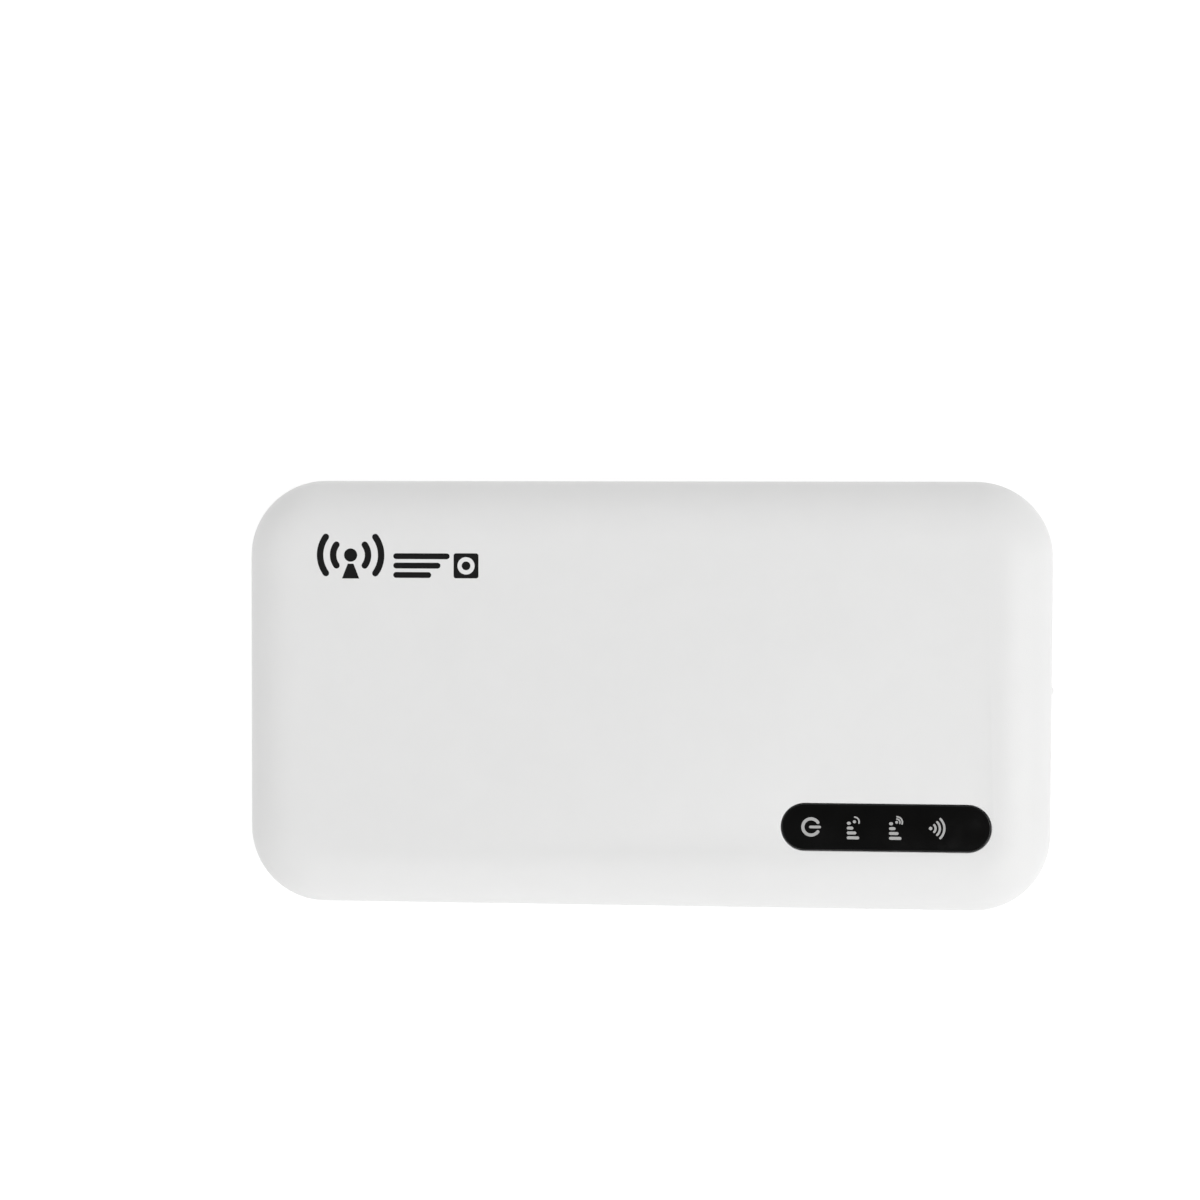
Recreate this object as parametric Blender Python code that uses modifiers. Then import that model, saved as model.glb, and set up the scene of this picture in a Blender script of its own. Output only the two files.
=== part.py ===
"""Mobile hotspot: a pocket cellular router in a white two-part case, as an assembly of separate pieces.

Metres, +Z up. The hotspot lies on its feet with the indicator window on top. The origin is the middle
of the footprint on the surface it lies on. +X is the long way, towards the end with the power button,
the USB-C port and the SIM tray. +Y is towards the long side furthest from the window.

Front and back in the names of the pieces are the -Y and +Y sides.
"""

import math

import bmesh
import bpy
from mathutils import Matrix, Vector

MM = 0.001

# Case
LENGTH = 140.0 * MM
WIDTH = 74.4 * MM
HEIGHT = 18.0 * MM
CORNER = 13.3 * MM
WALL = 1.8 * MM
TOP_EDGE = 10.0 * MM  # how far the top edge's rounding reaches in from the side
BASE_EDGE = 7.5 * MM
FOOT_PROUD = 0.6 * MM
PARTING_Z = 6.2 * MM
PARTING_GAP = 0.3 * MM
BAND_TOP_Z = 11.2 * MM  # the side wall is upright from the parting line to here
BAND_BASE_Z = 5.8 * MM
CASE_STEPS = 9

# Levels inside the case
CEILING_Z = HEIGHT - WALL
BASE_Z = FOOT_PROUD
FLOOR_Z = BASE_Z + WALL
PORT_Z = 9.0 * MM
BOARD_BASE_Z = 10.7 * MM
BOARD_THICK = 1.0 * MM
BOARD_TOP_Z = BOARD_BASE_Z + BOARD_THICK
SOLDER_GAP = 0.15 * MM  # what stands on the board stands this far off it

HALF_X = LENGTH / 2
HALF_Y = WIDTH / 2
INNER_X = HALF_X - WALL
INNER_Y = HALF_Y - WALL

# Indicator window
WINDOW_X = 41.15 * MM
WINDOW_Y = -22.0 * MM
WINDOW_LENGTH = 35.4 * MM
WINDOW_WIDTH = 7.9 * MM
WINDOW_THICK = 1.2 * MM
WINDOW_GAP = 0.15 * MM
LED_NAMES = ("power", "signal_a", "signal_b", "wireless")
LED_X = [(28.45 + 7.15 * i) * MM for i in range(len(LED_NAMES))]
PIPE_SIZE = (2.8 * MM, 3.8 * MM)
PIPE_GAP = 0.2 * MM

# Case screws, each under a foot
CASE_SCREW_X = 57.0 * MM
CASE_SCREW_Y = 24.0 * MM
TOP_BOSS_R = 2.8 * MM
BASE_BOSS_R = 3.2 * MM
FOOT_R = 4.0 * MM

# Board, board screws
BOARD_X = (9.0 * MM, 66.5 * MM)
BOARD_HALF_Y = 33.0 * MM
BOARD_SCREWS = ((13.5 * MM, 29.0 * MM), (46.0 * MM, 30.0 * MM))
BOARD_BOSS_R = 2.2 * MM

# Controls and ports, along the wall at +X
BUTTON_Y = 0.95 * MM
BUTTON_SIZE = (9.0 * MM, 3.0 * MM)
BUTTON_PROUD = 0.35 * MM
NIB_SIZE = 1.4 * MM
NIB_PROUD = 0.4 * MM
BUTTON_GAP = 0.2 * MM
PLUNGER_GAP = 0.1 * MM
USB_Y = -12.5 * MM
USB_SHELL = (8.94 * MM, 3.16 * MM)
USB_SHELL_WALL = 0.3 * MM
USB_X = (61.6 * MM, 69.5 * MM)
RESET_Y = -20.3 * MM
RESET_HOLE_R = 0.6 * MM
SIM_Y = 14.1 * MM
FASCIA_SIZE = (14.6 * MM, 2.4 * MM)
FASCIA_GAP = 0.2 * MM
TRAY_X = (51.5 * MM, 68.75 * MM)
TRAY_WIDTH = 11.0 * MM
TRAY_THICK = 1.1 * MM
SIM_SIZE = (12.3 * MM, 8.8 * MM, 0.67 * MM)

# Battery
CELL_X = (-52.0 * MM, 3.5 * MM)
CELL_HALF_Y = 30.5 * MM
CELL_Z = (5.4 * MM, 15.6 * MM)

# Antennas and their cables
ANTENNA_THICK = 0.4 * MM
ANTENNA_Z = (7.45 * MM, 12.4 * MM)
ANTENNA_WALL_GAP = 0.5 * MM
COAX_R = 0.55 * MM

ROUND_STEPS = 24
ROUND_END = 0.49
SHARP_ANGLE = math.radians(30)


def clear_scene():
    for obj in list(bpy.data.objects):
        bpy.data.objects.remove(obj)


def new_collection(name):
    collection = bpy.data.collections.new(name)
    bpy.context.scene.collection.children.link(collection)
    return collection


def new_material(name, colour, roughness, metallic=0.0):
    material = bpy.data.materials.new(name)
    material.use_nodes = True
    shader = material.node_tree.nodes["Principled BSDF"]
    shader.inputs["Base Color"].default_value = (*colour, 1.0)
    shader.inputs["Roughness"].default_value = roughness
    shader.inputs["Metallic"].default_value = metallic
    return material


clear_scene()
PARTS = new_collection("mobile_hotspot")
CUTTERS = new_collection("cutters")

WHITE_PLASTIC = new_material("white_plastic", (0.78, 0.78, 0.78), 0.45)
BLACK_WINDOW = new_material("black_window", (0.010, 0.010, 0.010), 0.12)
CLEAR_PLASTIC = new_material("clear_plastic", (0.90, 0.91, 0.90), 0.15)
DARK_PLASTIC = new_material("dark_plastic", (0.03, 0.03, 0.03), 0.50)
RUBBER = new_material("foot_rubber", (0.10, 0.10, 0.10), 0.80)
BOARD_GREEN = new_material("board_green", (0.02, 0.13, 0.07), 0.40)
TIN = new_material("tin_plate", (0.66, 0.66, 0.65), 0.30, 1.0)
STEEL = new_material("steel", (0.58, 0.58, 0.58), 0.25, 1.0)
ALUMINIUM = new_material("aluminium", (0.75, 0.76, 0.77), 0.35, 1.0)
FERRITE = new_material("ferrite", (0.06, 0.06, 0.065), 0.60)
SILICONE_GREY = new_material("silicone_grey", (0.42, 0.47, 0.52), 0.75)
CELL_FOIL = new_material("cell_foil", (0.60, 0.61, 0.62), 0.35, 0.6)
FOAM = new_material("foam", (0.08, 0.08, 0.08), 0.90)
CREAM_PLASTIC = new_material("cream_plastic", (0.82, 0.78, 0.66), 0.45)
FLEX_AMBER = new_material("flex_amber", (0.55, 0.27, 0.04), 0.35)
COPPER_GOLD = new_material("contact_gold", (0.80, 0.60, 0.25), 0.25, 1.0)
CABLE_BLACK = new_material("cable_black", (0.025, 0.025, 0.025), 0.40)
WIRE_RED = new_material("wire_red", (0.55, 0.02, 0.02), 0.40)
LABEL_SILVER = new_material("label_silver", (0.62, 0.63, 0.64), 0.45)
LED_PACKAGE = new_material("led_package", (0.85, 0.82, 0.55), 0.30)


def new_frame(name, location):
    """An empty that pieces are parented to: the whole case, or the start of a slide."""
    frame = bpy.data.objects.new(name, None)
    frame.location = location
    frame.empty_display_size = 5 * MM
    PARTS.objects.link(frame)
    return frame


CASE_FRAME = new_frame("hotspot_frame", (0, 0, 0))


def new_object(name, bm, location, material, parent=CASE_FRAME):
    """An object whose mesh is bm, drawn about its own origin, at a place given in the case's frame."""
    mesh = bpy.data.meshes.new(name)
    bm.to_mesh(mesh)
    bm.free()
    mesh.shade_smooth()
    mesh.set_sharp_from_angle(angle=SHARP_ANGLE)
    obj = bpy.data.objects.new(name, mesh)
    obj.location = Vector(location) - parent.location
    obj.parent = parent
    if material is None:
        obj.hide_render = True
        obj.display_type = "WIRE"
        CUTTERS.objects.link(obj)
    else:
        mesh.materials.append(material)
        PARTS.objects.link(obj)
    return obj


def boolean(target, other, operation="DIFFERENCE"):
    modifier = target.modifiers.new(other.name, "BOOLEAN")
    modifier.operation = operation
    modifier.solver = "EXACT"
    modifier.object = other


def add_block(bm, size, centre=(0, 0, 0), corner=0.0, axis="Z", steps=6):
    """A box, its four edges along one axis rounded to the corner radius."""
    matrix = Matrix.Translation(centre) @ Matrix.Diagonal((*size, 1))
    verts = bmesh.ops.create_cube(bm, size=1, matrix=matrix)["verts"]
    if corner:
        along = "XYZ".index(axis)
        edges = {
            edge
            for vert in verts
            for edge in vert.link_edges
            if abs(edge.verts[0].co[along] - edge.verts[1].co[along]) > size[along] / 2
        }
        bmesh.ops.bevel(bm, geom=list(edges), offset=corner, segments=steps, profile=0.5, affect="EDGES")


def add_pill(bm, size, centre=(0, 0, 0), axis="Z", steps=8):
    """A box with round ends: its corner radius is just under half of its smaller side across the axis."""
    across = [side for side, name in zip(size, "XYZ") if name != axis]
    add_block(bm, size, centre, ROUND_END * min(across), axis, steps)


def add_cylinder(bm, radius, low, high, centre_xy=(0, 0), steps=ROUND_STEPS):
    matrix = Matrix.Translation((*centre_xy, (low + high) / 2))
    bmesh.ops.create_cone(
        bm, cap_ends=True, segments=steps, radius1=radius, radius2=radius, depth=high - low, matrix=matrix
    )


def end_face(bm, direction):
    """The face furthest along a direction."""
    return max(bm.faces, key=lambda face: face.calc_center_median().dot(Vector(direction)))


def round_end(bm, direction, inset, rise, steps):
    """Carries the end face on in inset steps, along a quarter of an ellipse."""
    for step in range(steps):
        start, stop = (math.pi / 2 * (step + k) / steps for k in (0, 1))
        thickness = inset * (math.cos(start) - math.cos(stop))
        depth = rise * (math.sin(stop) - math.sin(start))
        face = end_face(bm, direction)
        bmesh.ops.inset_individual(bm, faces=[face], thickness=thickness, depth=depth, use_even_offset=True)


def block(name, low, high, material, corner=0.0, axis="Z", parent=CASE_FRAME):
    """A box between two corners, given in the case's frame."""
    low, high = Vector(low), Vector(high)
    bm = bmesh.new()
    add_block(bm, high - low, corner=corner, axis=axis)
    return new_object(name, bm, (low + high) / 2, material, parent)


def case_slab(name, shrink, from_z, band_z, end_z, edge, material):
    """Half of the case's outer form, or of its cavity: an upright band closed by a rounded edge."""
    bm = bmesh.new()
    size = (LENGTH - 2 * shrink, WIDTH - 2 * shrink, abs(band_z - from_z))
    add_block(bm, size, (0, 0, (from_z + band_z) / 2), CORNER - shrink, steps=CASE_STEPS)
    towards = (0, 0, math.copysign(1, end_z - band_z))
    round_end(bm, towards, edge, abs(end_z - band_z), CASE_STEPS)
    return new_object(name, bm, (0, 0, 0), material)


def turned(name, profile, location, material, steps=ROUND_STEPS, parent=CASE_FRAME):
    """A solid of revolution about Z. The profile is (radius, z) pairs from top to bottom."""
    bm = bmesh.new()
    verts = [bm.verts.new((radius, 0, z)) for radius, z in profile]
    for first, second in zip(verts, verts[1:]):
        bm.edges.new((first, second))
    obj = new_object(name, bm, location, material, parent)
    screw = obj.modifiers.new("turn", "SCREW")
    screw.steps = screw.render_steps = steps
    screw.use_merge_vertices = True
    screw.merge_threshold = 0.01 * MM
    screw.use_smooth_shade = True
    return obj


def smooth_route(points, spacing):
    """Points about a spacing apart on a smooth curve through the route's own points."""
    points = [Vector(point) * MM for point in points]
    ends = [2 * points[0] - points[1], *points, 2 * points[-1] - points[-2]]
    found = []
    for before, start, stop, after in zip(ends, ends[1:], ends[2:], ends[3:]):
        count = max(1, round((stop - start).length / spacing))
        for k in range(count):
            t = k / count
            found.append(
                0.5
                * (
                    2 * start
                    + (stop - before) * t
                    + (2 * before - 5 * start + 4 * stop - after) * t**2
                    + (3 * start - before - 3 * stop + after) * t**3
                )
            )
    return [*found, points[-1]]


def wire(name, route, radius, material, spacing):
    curve = bpy.data.curves.new(name, "CURVE")
    curve.dimensions = "3D"
    points = smooth_route(route, spacing)
    spline = curve.splines.new("POLY")
    spline.points.add(len(points) - 1)
    for place, point in zip(spline.points, points):
        place.co = (*point, 1)
    curve.bevel_depth = radius
    curve.bevel_resolution = 2
    curve.use_fill_caps = True
    curve.materials.append(material)
    obj = bpy.data.objects.new(name, curve)
    obj.parent = CASE_FRAME
    PARTS.objects.link(obj)
    return obj


def at_corners(x, y):
    """The four mirrored places of a point, each with the words that name it."""
    for side_x, word_x in ((-1, "left"), (1, "right")):
        for side_y, word_y in ((-1, "front"), (1, "back")):
            yield f"{word_y}_{word_x}", side_x * x, side_y * y


def board_screw_places():
    for side, word in ((-1, "front"), (1, "back")):
        for number, (x, y) in enumerate(BOARD_SCREWS, 1):
            yield f"{word}_{number}", x, side * y


# ---------------------------------------------------------------- case

def make_top_cover():
    rim_z = PARTING_Z + PARTING_GAP / 2
    cover = case_slab("top_cover", 0, rim_z, BAND_TOP_Z, HEIGHT, TOP_EDGE, WHITE_PLASTIC)
    boolean(
        cover,
        case_slab("top_cavity", WALL, rim_z - WALL, BAND_TOP_Z, CEILING_Z, TOP_EDGE - WALL, None),
    )

    buried = 0.5 * MM  # how far a boss reaches into the ceiling
    bm = bmesh.new()
    for _, x, y in at_corners(CASE_SCREW_X, CASE_SCREW_Y):
        add_cylinder(bm, TOP_BOSS_R, PARTING_Z + 0.4 * MM, CEILING_Z + buried, (x, y))
    for _, x, y in board_screw_places():
        add_cylinder(bm, BOARD_BOSS_R, BOARD_TOP_Z + SOLDER_GAP, CEILING_Z + buried, (x, y))
    boolean(cover, new_object("top_bosses", bm, (0, 0, 0), None), "UNION")

    bm = bmesh.new()
    for _, x, y in at_corners(CASE_SCREW_X, CASE_SCREW_Y):
        add_cylinder(bm, 1.05 * MM, PARTING_Z - WALL, 13.2 * MM, (x, y), 16)
    for _, x, y in board_screw_places():
        add_cylinder(bm, 0.9 * MM, BOARD_BASE_Z, 15.2 * MM, (x, y), 16)
    boolean(cover, new_object("pilot_holes", bm, (0, 0, 0), None))

    # The window's recess, its four light holes, and the cut-outs in the wall at +X
    bm = bmesh.new()
    recess = (WINDOW_LENGTH + 2 * WINDOW_GAP, WINDOW_WIDTH + 2 * WINDOW_GAP, 3 * MM)
    recess_floor_z = HEIGHT - 1.5 * MM
    add_pill(bm, recess, (WINDOW_X, WINDOW_Y, recess_floor_z + recess[2] / 2), steps=10)
    boolean(cover, new_object("window_recess", bm, (0, 0, 0), None))
    bm = bmesh.new()
    for x in LED_X:
        hole = (PIPE_SIZE[0] + 2 * PIPE_GAP, PIPE_SIZE[1] + 2 * PIPE_GAP, 2 * MM)
        add_block(bm, hole, (x, WINDOW_Y, recess_floor_z))
    depth = 3 * WALL
    x = INNER_X + depth / 2 - WALL
    for y, size, gap in (
        (BUTTON_Y, BUTTON_SIZE, BUTTON_GAP),
        (USB_Y, USB_SHELL, 0.28 * MM),
        (SIM_Y, FASCIA_SIZE, FASCIA_GAP),
        (RESET_Y, (2 * RESET_HOLE_R, 2 * RESET_HOLE_R), 0),
    ):
        add_pill(bm, (depth, size[0] + 2 * gap, size[1] + 2 * gap), (x, y, PORT_Z), "X")
    boolean(cover, new_object("wall_cutouts", bm, (0, 0, 0), None))


def make_bottom_cover():
    rim_z = PARTING_Z - PARTING_GAP / 2
    cover = case_slab("bottom_cover", 0, rim_z, BAND_BASE_Z, BASE_Z, BASE_EDGE, WHITE_PLASTIC)
    boolean(
        cover,
        case_slab("base_cavity", WALL, rim_z + WALL, BAND_BASE_Z, FLOOR_Z, BASE_EDGE - WALL, None),
    )

    # The lip that lines up the two covers stands just inside the top cover's wall
    lip_gap, lip_thick, lip_z = 0.3 * MM, 1.2 * MM, (3.1 * MM, 7.2 * MM)
    lip = None
    for name, shrink, low, high in (
        ("lip", WALL + lip_gap, *lip_z),
        ("lip_core", WALL + lip_gap + lip_thick, lip_z[0] - WALL, lip_z[1] + WALL),
    ):
        bm = bmesh.new()
        size = (LENGTH - 2 * shrink, WIDTH - 2 * shrink, high - low)
        add_block(bm, size, (0, 0, (low + high) / 2), CORNER - shrink, steps=CASE_STEPS)
        ring = new_object(name, bm, (0, 0, 0), None)
        if lip:
            boolean(lip, ring)
        else:
            lip = ring
    boolean(cover, lip, "UNION")

    # Screw bosses, and four ribs that keep the cell in its place
    bm = bmesh.new()
    buried_z = FLOOR_Z - 0.3 * MM
    for _, x, y in at_corners(CASE_SCREW_X, CASE_SCREW_Y):
        add_cylinder(bm, BASE_BOSS_R, buried_z, PARTING_Z + 0.1 * MM, (x, y))
    rib, cell_middle_x, cell_gap = 1.0 * MM, sum(CELL_X) / 2, 0.6 * MM
    rib_height = 7.0 * MM - buried_z
    rib_z = buried_z + rib_height / 2
    for side in (-1, 1):
        y = side * (CELL_HALF_Y + cell_gap + rib / 2)
        add_block(bm, (40 * MM, rib, rib_height), (cell_middle_x, y, rib_z))
        x = cell_middle_x + side * ((CELL_X[1] - CELL_X[0]) / 2 + cell_gap + rib / 2)
        add_block(bm, (rib, 26 * MM, rib_height), (x, 0, rib_z))
    boolean(cover, new_object("base_bosses_and_ribs", bm, (0, 0, 0), None), "UNION")

    for name, radius, low, high in (
        ("foot_recesses", FOOT_R + 0.2 * MM, BASE_Z - WALL, BASE_Z + 0.9 * MM),
        ("screw_head_holes", 2.3 * MM, BASE_Z, 3.2 * MM),
        ("screw_shank_holes", 1.15 * MM, BASE_Z, PARTING_Z + WALL),
    ):
        bm = bmesh.new()
        for _, x, y in at_corners(CASE_SCREW_X, CASE_SCREW_Y):
            add_cylinder(bm, radius, low, high, (x, y))
        boolean(cover, new_object(name, bm, (0, 0, 0), None))

    bm = bmesh.new()
    add_block(bm, (56 * MM, 34 * MM, 2 * MM), (0, 0, BASE_Z - 0.5 * MM), 3 * MM)
    boolean(cover, new_object("label_recess", bm, (0, 0, 0), None))

    label_gap, label_z = 0.2 * MM, BASE_Z + 0.1 * MM
    block(
        "rating_label",
        (-28 * MM + label_gap, -17 * MM + label_gap, label_z),
        (28 * MM - label_gap, 17 * MM - label_gap, label_z + 0.2 * MM),
        LABEL_SILVER,
        corner=2.8 * MM,
    )


def make_feet_and_case_screws():
    foot_edge, foot_top = 0.4 * MM, 1.2 * MM
    sole = [
        (FOOT_R - foot_edge * (1 - math.cos(angle)), foot_edge * (1 - math.sin(angle)))
        for angle in (math.pi / 6 * k for k in range(4))
    ]
    foot_profile = [(0, foot_top), (FOOT_R, foot_top), *sole, (0, 0)]
    head_r, shank_r = 1.9 * MM, 0.9 * MM
    head_low, head_high, tip_z, point_z = 1.8 * MM, 3.0 * MM, 11.6 * MM, 12.5 * MM
    screw_profile = [
        (0, point_z),
        (shank_r * 0.4, point_z),
        (shank_r, tip_z),
        (shank_r, head_high),
        (head_r, head_high),
        (head_r, head_low + 0.3 * MM),
        (head_r * 0.8, head_low),
        (0, head_low),
    ]
    for words, x, y in at_corners(CASE_SCREW_X, CASE_SCREW_Y):
        turned(f"foot_{words}", foot_profile, (x, y, 0), RUBBER)
        screw = turned(f"case_screw_{words}", screw_profile, (x, y, 0), STEEL, 16)
        cut_cross(screw, (x, y, head_low), 2.2 * MM, 0.6 * MM)


def cut_cross(screw, place, reach, depth):
    """A cross recess in a screw's head, which faces down."""
    for turn, (side_x, side_y) in enumerate(((reach, 0.5 * MM), (0.5 * MM, reach)), 1):
        bm = bmesh.new()
        add_block(bm, (side_x, side_y, 2 * depth))
        boolean(screw, new_object(f"{screw.name}_slot_{turn}", bm, place, None))


# ---------------------------------------------------------------- indicator window

def make_indicators():
    bm = bmesh.new()
    chamfer = 0.15 * MM
    add_pill(bm, (WINDOW_LENGTH, WINDOW_WIDTH, WINDOW_THICK - chamfer), steps=10)
    round_end(bm, (0, 0, 1), chamfer, chamfer, 1)
    top_z = HEIGHT - 0.05 * MM
    middle_z = top_z - chamfer - (WINDOW_THICK - chamfer) / 2
    new_object("indicator_lens", bm, (WINDOW_X, WINDOW_Y, middle_z), BLACK_WINDOW)

    # One moulding carries the four light pipes, which hang from a runner along their back
    pipe_z = (12.65 * MM, 16.6 * MM)
    runner_y, runner_z = (WINDOW_Y + 1.4 * MM, WINDOW_Y + 2.6 * MM), (12.9 * MM, 13.7 * MM)
    middle = Vector((WINDOW_X, WINDOW_Y, sum(pipe_z) / 2))
    guide = block(
        "light_guide",
        (LED_X[0] - 0.5 * MM, runner_y[0], runner_z[0]),
        (LED_X[-1] + 0.5 * MM, runner_y[1], runner_z[1]),
        CLEAR_PLASTIC,
    )
    bm = bmesh.new()
    for x in LED_X:
        add_block(bm, (*PIPE_SIZE, pipe_z[1] - pipe_z[0]), (x - middle.x, 0, 0))
    boolean(guide, new_object("light_pipes", bm, middle, None), "UNION")

    # The baffle keeps the light of each LED in its own well
    baffle_z = (BOARD_TOP_Z + 0.25 * MM, CEILING_Z - 0.2 * MM)
    baffle = block(
        "light_baffle",
        (LED_X[0] - 3.1 * MM, WINDOW_Y - 3.2 * MM, baffle_z[0]),
        (LED_X[-1] + 3.1 * MM, WINDOW_Y + 3.4 * MM, baffle_z[1]),
        DARK_PLASTIC,
    )
    bm = bmesh.new()
    for x in LED_X:
        well = (PIPE_SIZE[0] + 2 * PIPE_GAP, PIPE_SIZE[1] + 2 * PIPE_GAP, HEIGHT)
        add_block(bm, well, (x, WINDOW_Y, BOARD_TOP_Z))
    boolean(baffle, new_object("light_wells", bm, (0, 0, 0), None))
    slot_top = runner_z[1] + PIPE_GAP
    slot = block(
        "runner_slot",
        (LED_X[0] - 0.9 * MM, runner_y[0] - PIPE_GAP, BOARD_BASE_Z),
        (LED_X[-1] + 0.9 * MM, runner_y[1] + PIPE_GAP, slot_top),
        None,
    )
    boolean(baffle, slot)

    led_z = BOARD_TOP_Z + SOLDER_GAP
    for word, x in zip(LED_NAMES, LED_X):
        block(
            f"led_{word}",
            (x - 0.8 * MM, WINDOW_Y - 0.4 * MM, led_z),
            (x + 0.8 * MM, WINDOW_Y + 0.4 * MM, led_z + 0.6 * MM),
            LED_PACKAGE,
        )


# ---------------------------------------------------------------- main board

def make_board():
    low = Vector((BOARD_X[0], -BOARD_HALF_Y, BOARD_BASE_Z))
    high = Vector((BOARD_X[1], BOARD_HALF_Y, BOARD_TOP_Z))
    bm = bmesh.new()
    add_block(bm, high - low)
    upright_at_ports = [
        edge
        for edge in bm.edges
        if edge.verts[0].co.x > 0 and edge.verts[0].co.xy == edge.verts[1].co.xy
    ]
    bmesh.ops.bevel(bm, geom=upright_at_ports, offset=10 * MM, segments=8, profile=0.5, affect="EDGES")
    board = new_object("main_board", bm, (low + high) / 2, BOARD_GREEN)
    bm = bmesh.new()
    for side in (-1, 1):
        place = (CASE_SCREW_X, side * CASE_SCREW_Y)
        add_cylinder(bm, TOP_BOSS_R + 0.4 * MM, BOARD_BASE_Z - WALL, BOARD_TOP_Z + WALL, place)
    for _, x, y in board_screw_places():
        add_cylinder(bm, 1.1 * MM, BOARD_BASE_Z - WALL, BOARD_TOP_Z + WALL, (x, y), 16)
    boolean(board, new_object("board_holes", bm, (0, 0, 0), None))

    head_z = (9.5 * MM, BOARD_BASE_Z - SOLDER_GAP)
    tip_z = 14.6 * MM
    profile = [
        (0, tip_z),
        (0.75 * MM, tip_z),
        (0.75 * MM, head_z[1]),
        (1.7 * MM, head_z[1]),
        (1.7 * MM, head_z[0] + 0.4 * MM),
        (1.2 * MM, head_z[0]),
        (0, head_z[0]),
    ]
    for words, x, y in board_screw_places():
        screw = turned(f"board_screw_{words}", profile, (x, y, 0), STEEL, 16)
        cut_cross(screw, (x, y, head_z[0]), 1.7 * MM, 0.5 * MM)


def shield_can(name, low, high, opens):
    """A folded tin can over the chips: five walls of thin sheet, open towards the board."""
    sheet = 0.2 * MM
    can = block(name, low, high, TIN)
    low, high = Vector(low) + Vector((sheet,) * 3), Vector(high) - Vector((sheet,) * 3)
    if opens == "down":
        low.z -= MM
    else:
        high.z += MM
    boolean(can, block(f"{name}_inside", low, high, None))


def make_board_parts():
    top_z, base_z = BOARD_TOP_Z + SOLDER_GAP, BOARD_BASE_Z - SOLDER_GAP
    shield_top_z = top_z + 2.2 * MM
    shield_can("modem_shield", (14 * MM, -12 * MM, top_z), (46 * MM, 22 * MM, shield_top_z), "down")
    shield_can("wifi_shield", (48.5 * MM, -10 * MM, top_z), (64.5 * MM, 10 * MM, top_z + 1.8 * MM), "down")
    shield_can("power_shield", (24 * MM, -10 * MM, 8.7 * MM), (44 * MM, 8 * MM, base_z), "up")
    block("modem_chip", (20 * MM, -5 * MM, top_z), (34 * MM, 9 * MM, top_z + 1.2 * MM), DARK_PLASTIC)
    block("power_inductor", (31.5 * MM, 11.5 * MM, 8.15 * MM), (36.5 * MM, 16.5 * MM, base_z), FERRITE, 0.8 * MM)

    spreader_z = (CEILING_Z - 0.9 * MM, CEILING_Z - 0.3 * MM)
    block(
        "thermal_pad",
        (16 * MM, -10 * MM, shield_top_z + 0.1 * MM),
        (44 * MM, 20 * MM, spreader_z[0] - 0.1 * MM),
        SILICONE_GREY,
    )
    block("heat_spreader", (12 * MM, -14 * MM, spreader_z[0]), (53 * MM, 24 * MM, spreader_z[1]), ALUMINIUM, 2 * MM)


# ---------------------------------------------------------------- controls

def make_power_button():
    face_x = HALF_X + BUTTON_PROUD
    flange_x = (66.9 * MM, INNER_X - 0.2 * MM)
    slide = new_frame("power_button_slide", (face_x, BUTTON_Y, PORT_Z))
    bm = bmesh.new()
    cap_length = face_x - flange_x[0]
    add_pill(bm, (cap_length, *BUTTON_SIZE), (-cap_length / 2, 0, 0), "X")
    rim = list(end_face(bm, (1, 0, 0)).edges)
    bmesh.ops.bevel(bm, geom=rim, offset=0.4 * MM, segments=3, profile=0.5, affect="EDGES")
    button = new_object("power_button", bm, slide.location, WHITE_PLASTIC, slide)

    bm = bmesh.new()
    flange_length = flange_x[1] - flange_x[0]
    flange_mid = (sum(flange_x) / 2 - face_x, 0, 0)
    add_block(bm, (flange_length, 12.4 * MM, BUTTON_SIZE[1] + 0.1 * MM), flange_mid, 0.6 * MM, "X", 3)
    boolean(button, new_object("button_flange", bm, slide.location, None, slide), "UNION")
    bm = bmesh.new()
    nub_x = (66.3 * MM, flange_x[0] + 0.3 * MM)
    add_block(bm, (nub_x[1] - nub_x[0], 3 * MM, 2 * MM), (sum(nub_x) / 2 - face_x, 0, 0))
    boolean(button, new_object("button_nub", bm, slide.location, None, slide), "UNION")
    bm = bmesh.new()
    nib_inside = 0.3 * MM
    add_pill(bm, (nib_inside + NIB_PROUD, NIB_SIZE, NIB_SIZE), ((NIB_PROUD - nib_inside) / 2, 0, 0), "X", 4)
    rim = list(end_face(bm, (1, 0, 0)).edges)
    bmesh.ops.bevel(bm, geom=rim, offset=0.3 * MM, segments=3, profile=0.5, affect="EDGES")
    boolean(button, new_object("button_nib", bm, slide.location, None, slide), "UNION")

    side_switch("power", BUTTON_Y, (61.2 * MM, 64.9 * MM), 6.2 * MM, 2.85 * MM, nub_x[0], (3.0 * MM, 1.5 * MM))


def side_switch(word, y, body_x, width, height, reach_x, plunger_size):
    """A side-push switch under the board, and the plunger that slides in it."""
    top_z = BOARD_BASE_Z - SOLDER_GAP
    body = block(
        f"{word}_switch",
        (body_x[0], y - width / 2, top_z - height),
        (body_x[1], y + width / 2, top_z),
        DARK_PLASTIC,
    )
    guide_depth, inside = 0.9 * MM, 0.3 * MM
    bm = bmesh.new()
    guide = [side + 2 * PLUNGER_GAP for side in plunger_size]
    add_block(bm, (2 * guide_depth, *guide))
    boolean(body, new_object(f"{word}_switch_guide", bm, (body_x[1], y, PORT_Z), None))

    end_x = reach_x - PLUNGER_GAP
    slide = new_frame(f"{word}_plunger_slide", (end_x, y, PORT_Z))
    bm = bmesh.new()
    length = end_x - (body_x[1] - inside)
    add_block(bm, (length, *plunger_size), (-length / 2, 0, 0))
    new_object(f"{word}_switch_plunger", bm, slide.location, CREAM_PLASTIC, slide)


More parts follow.
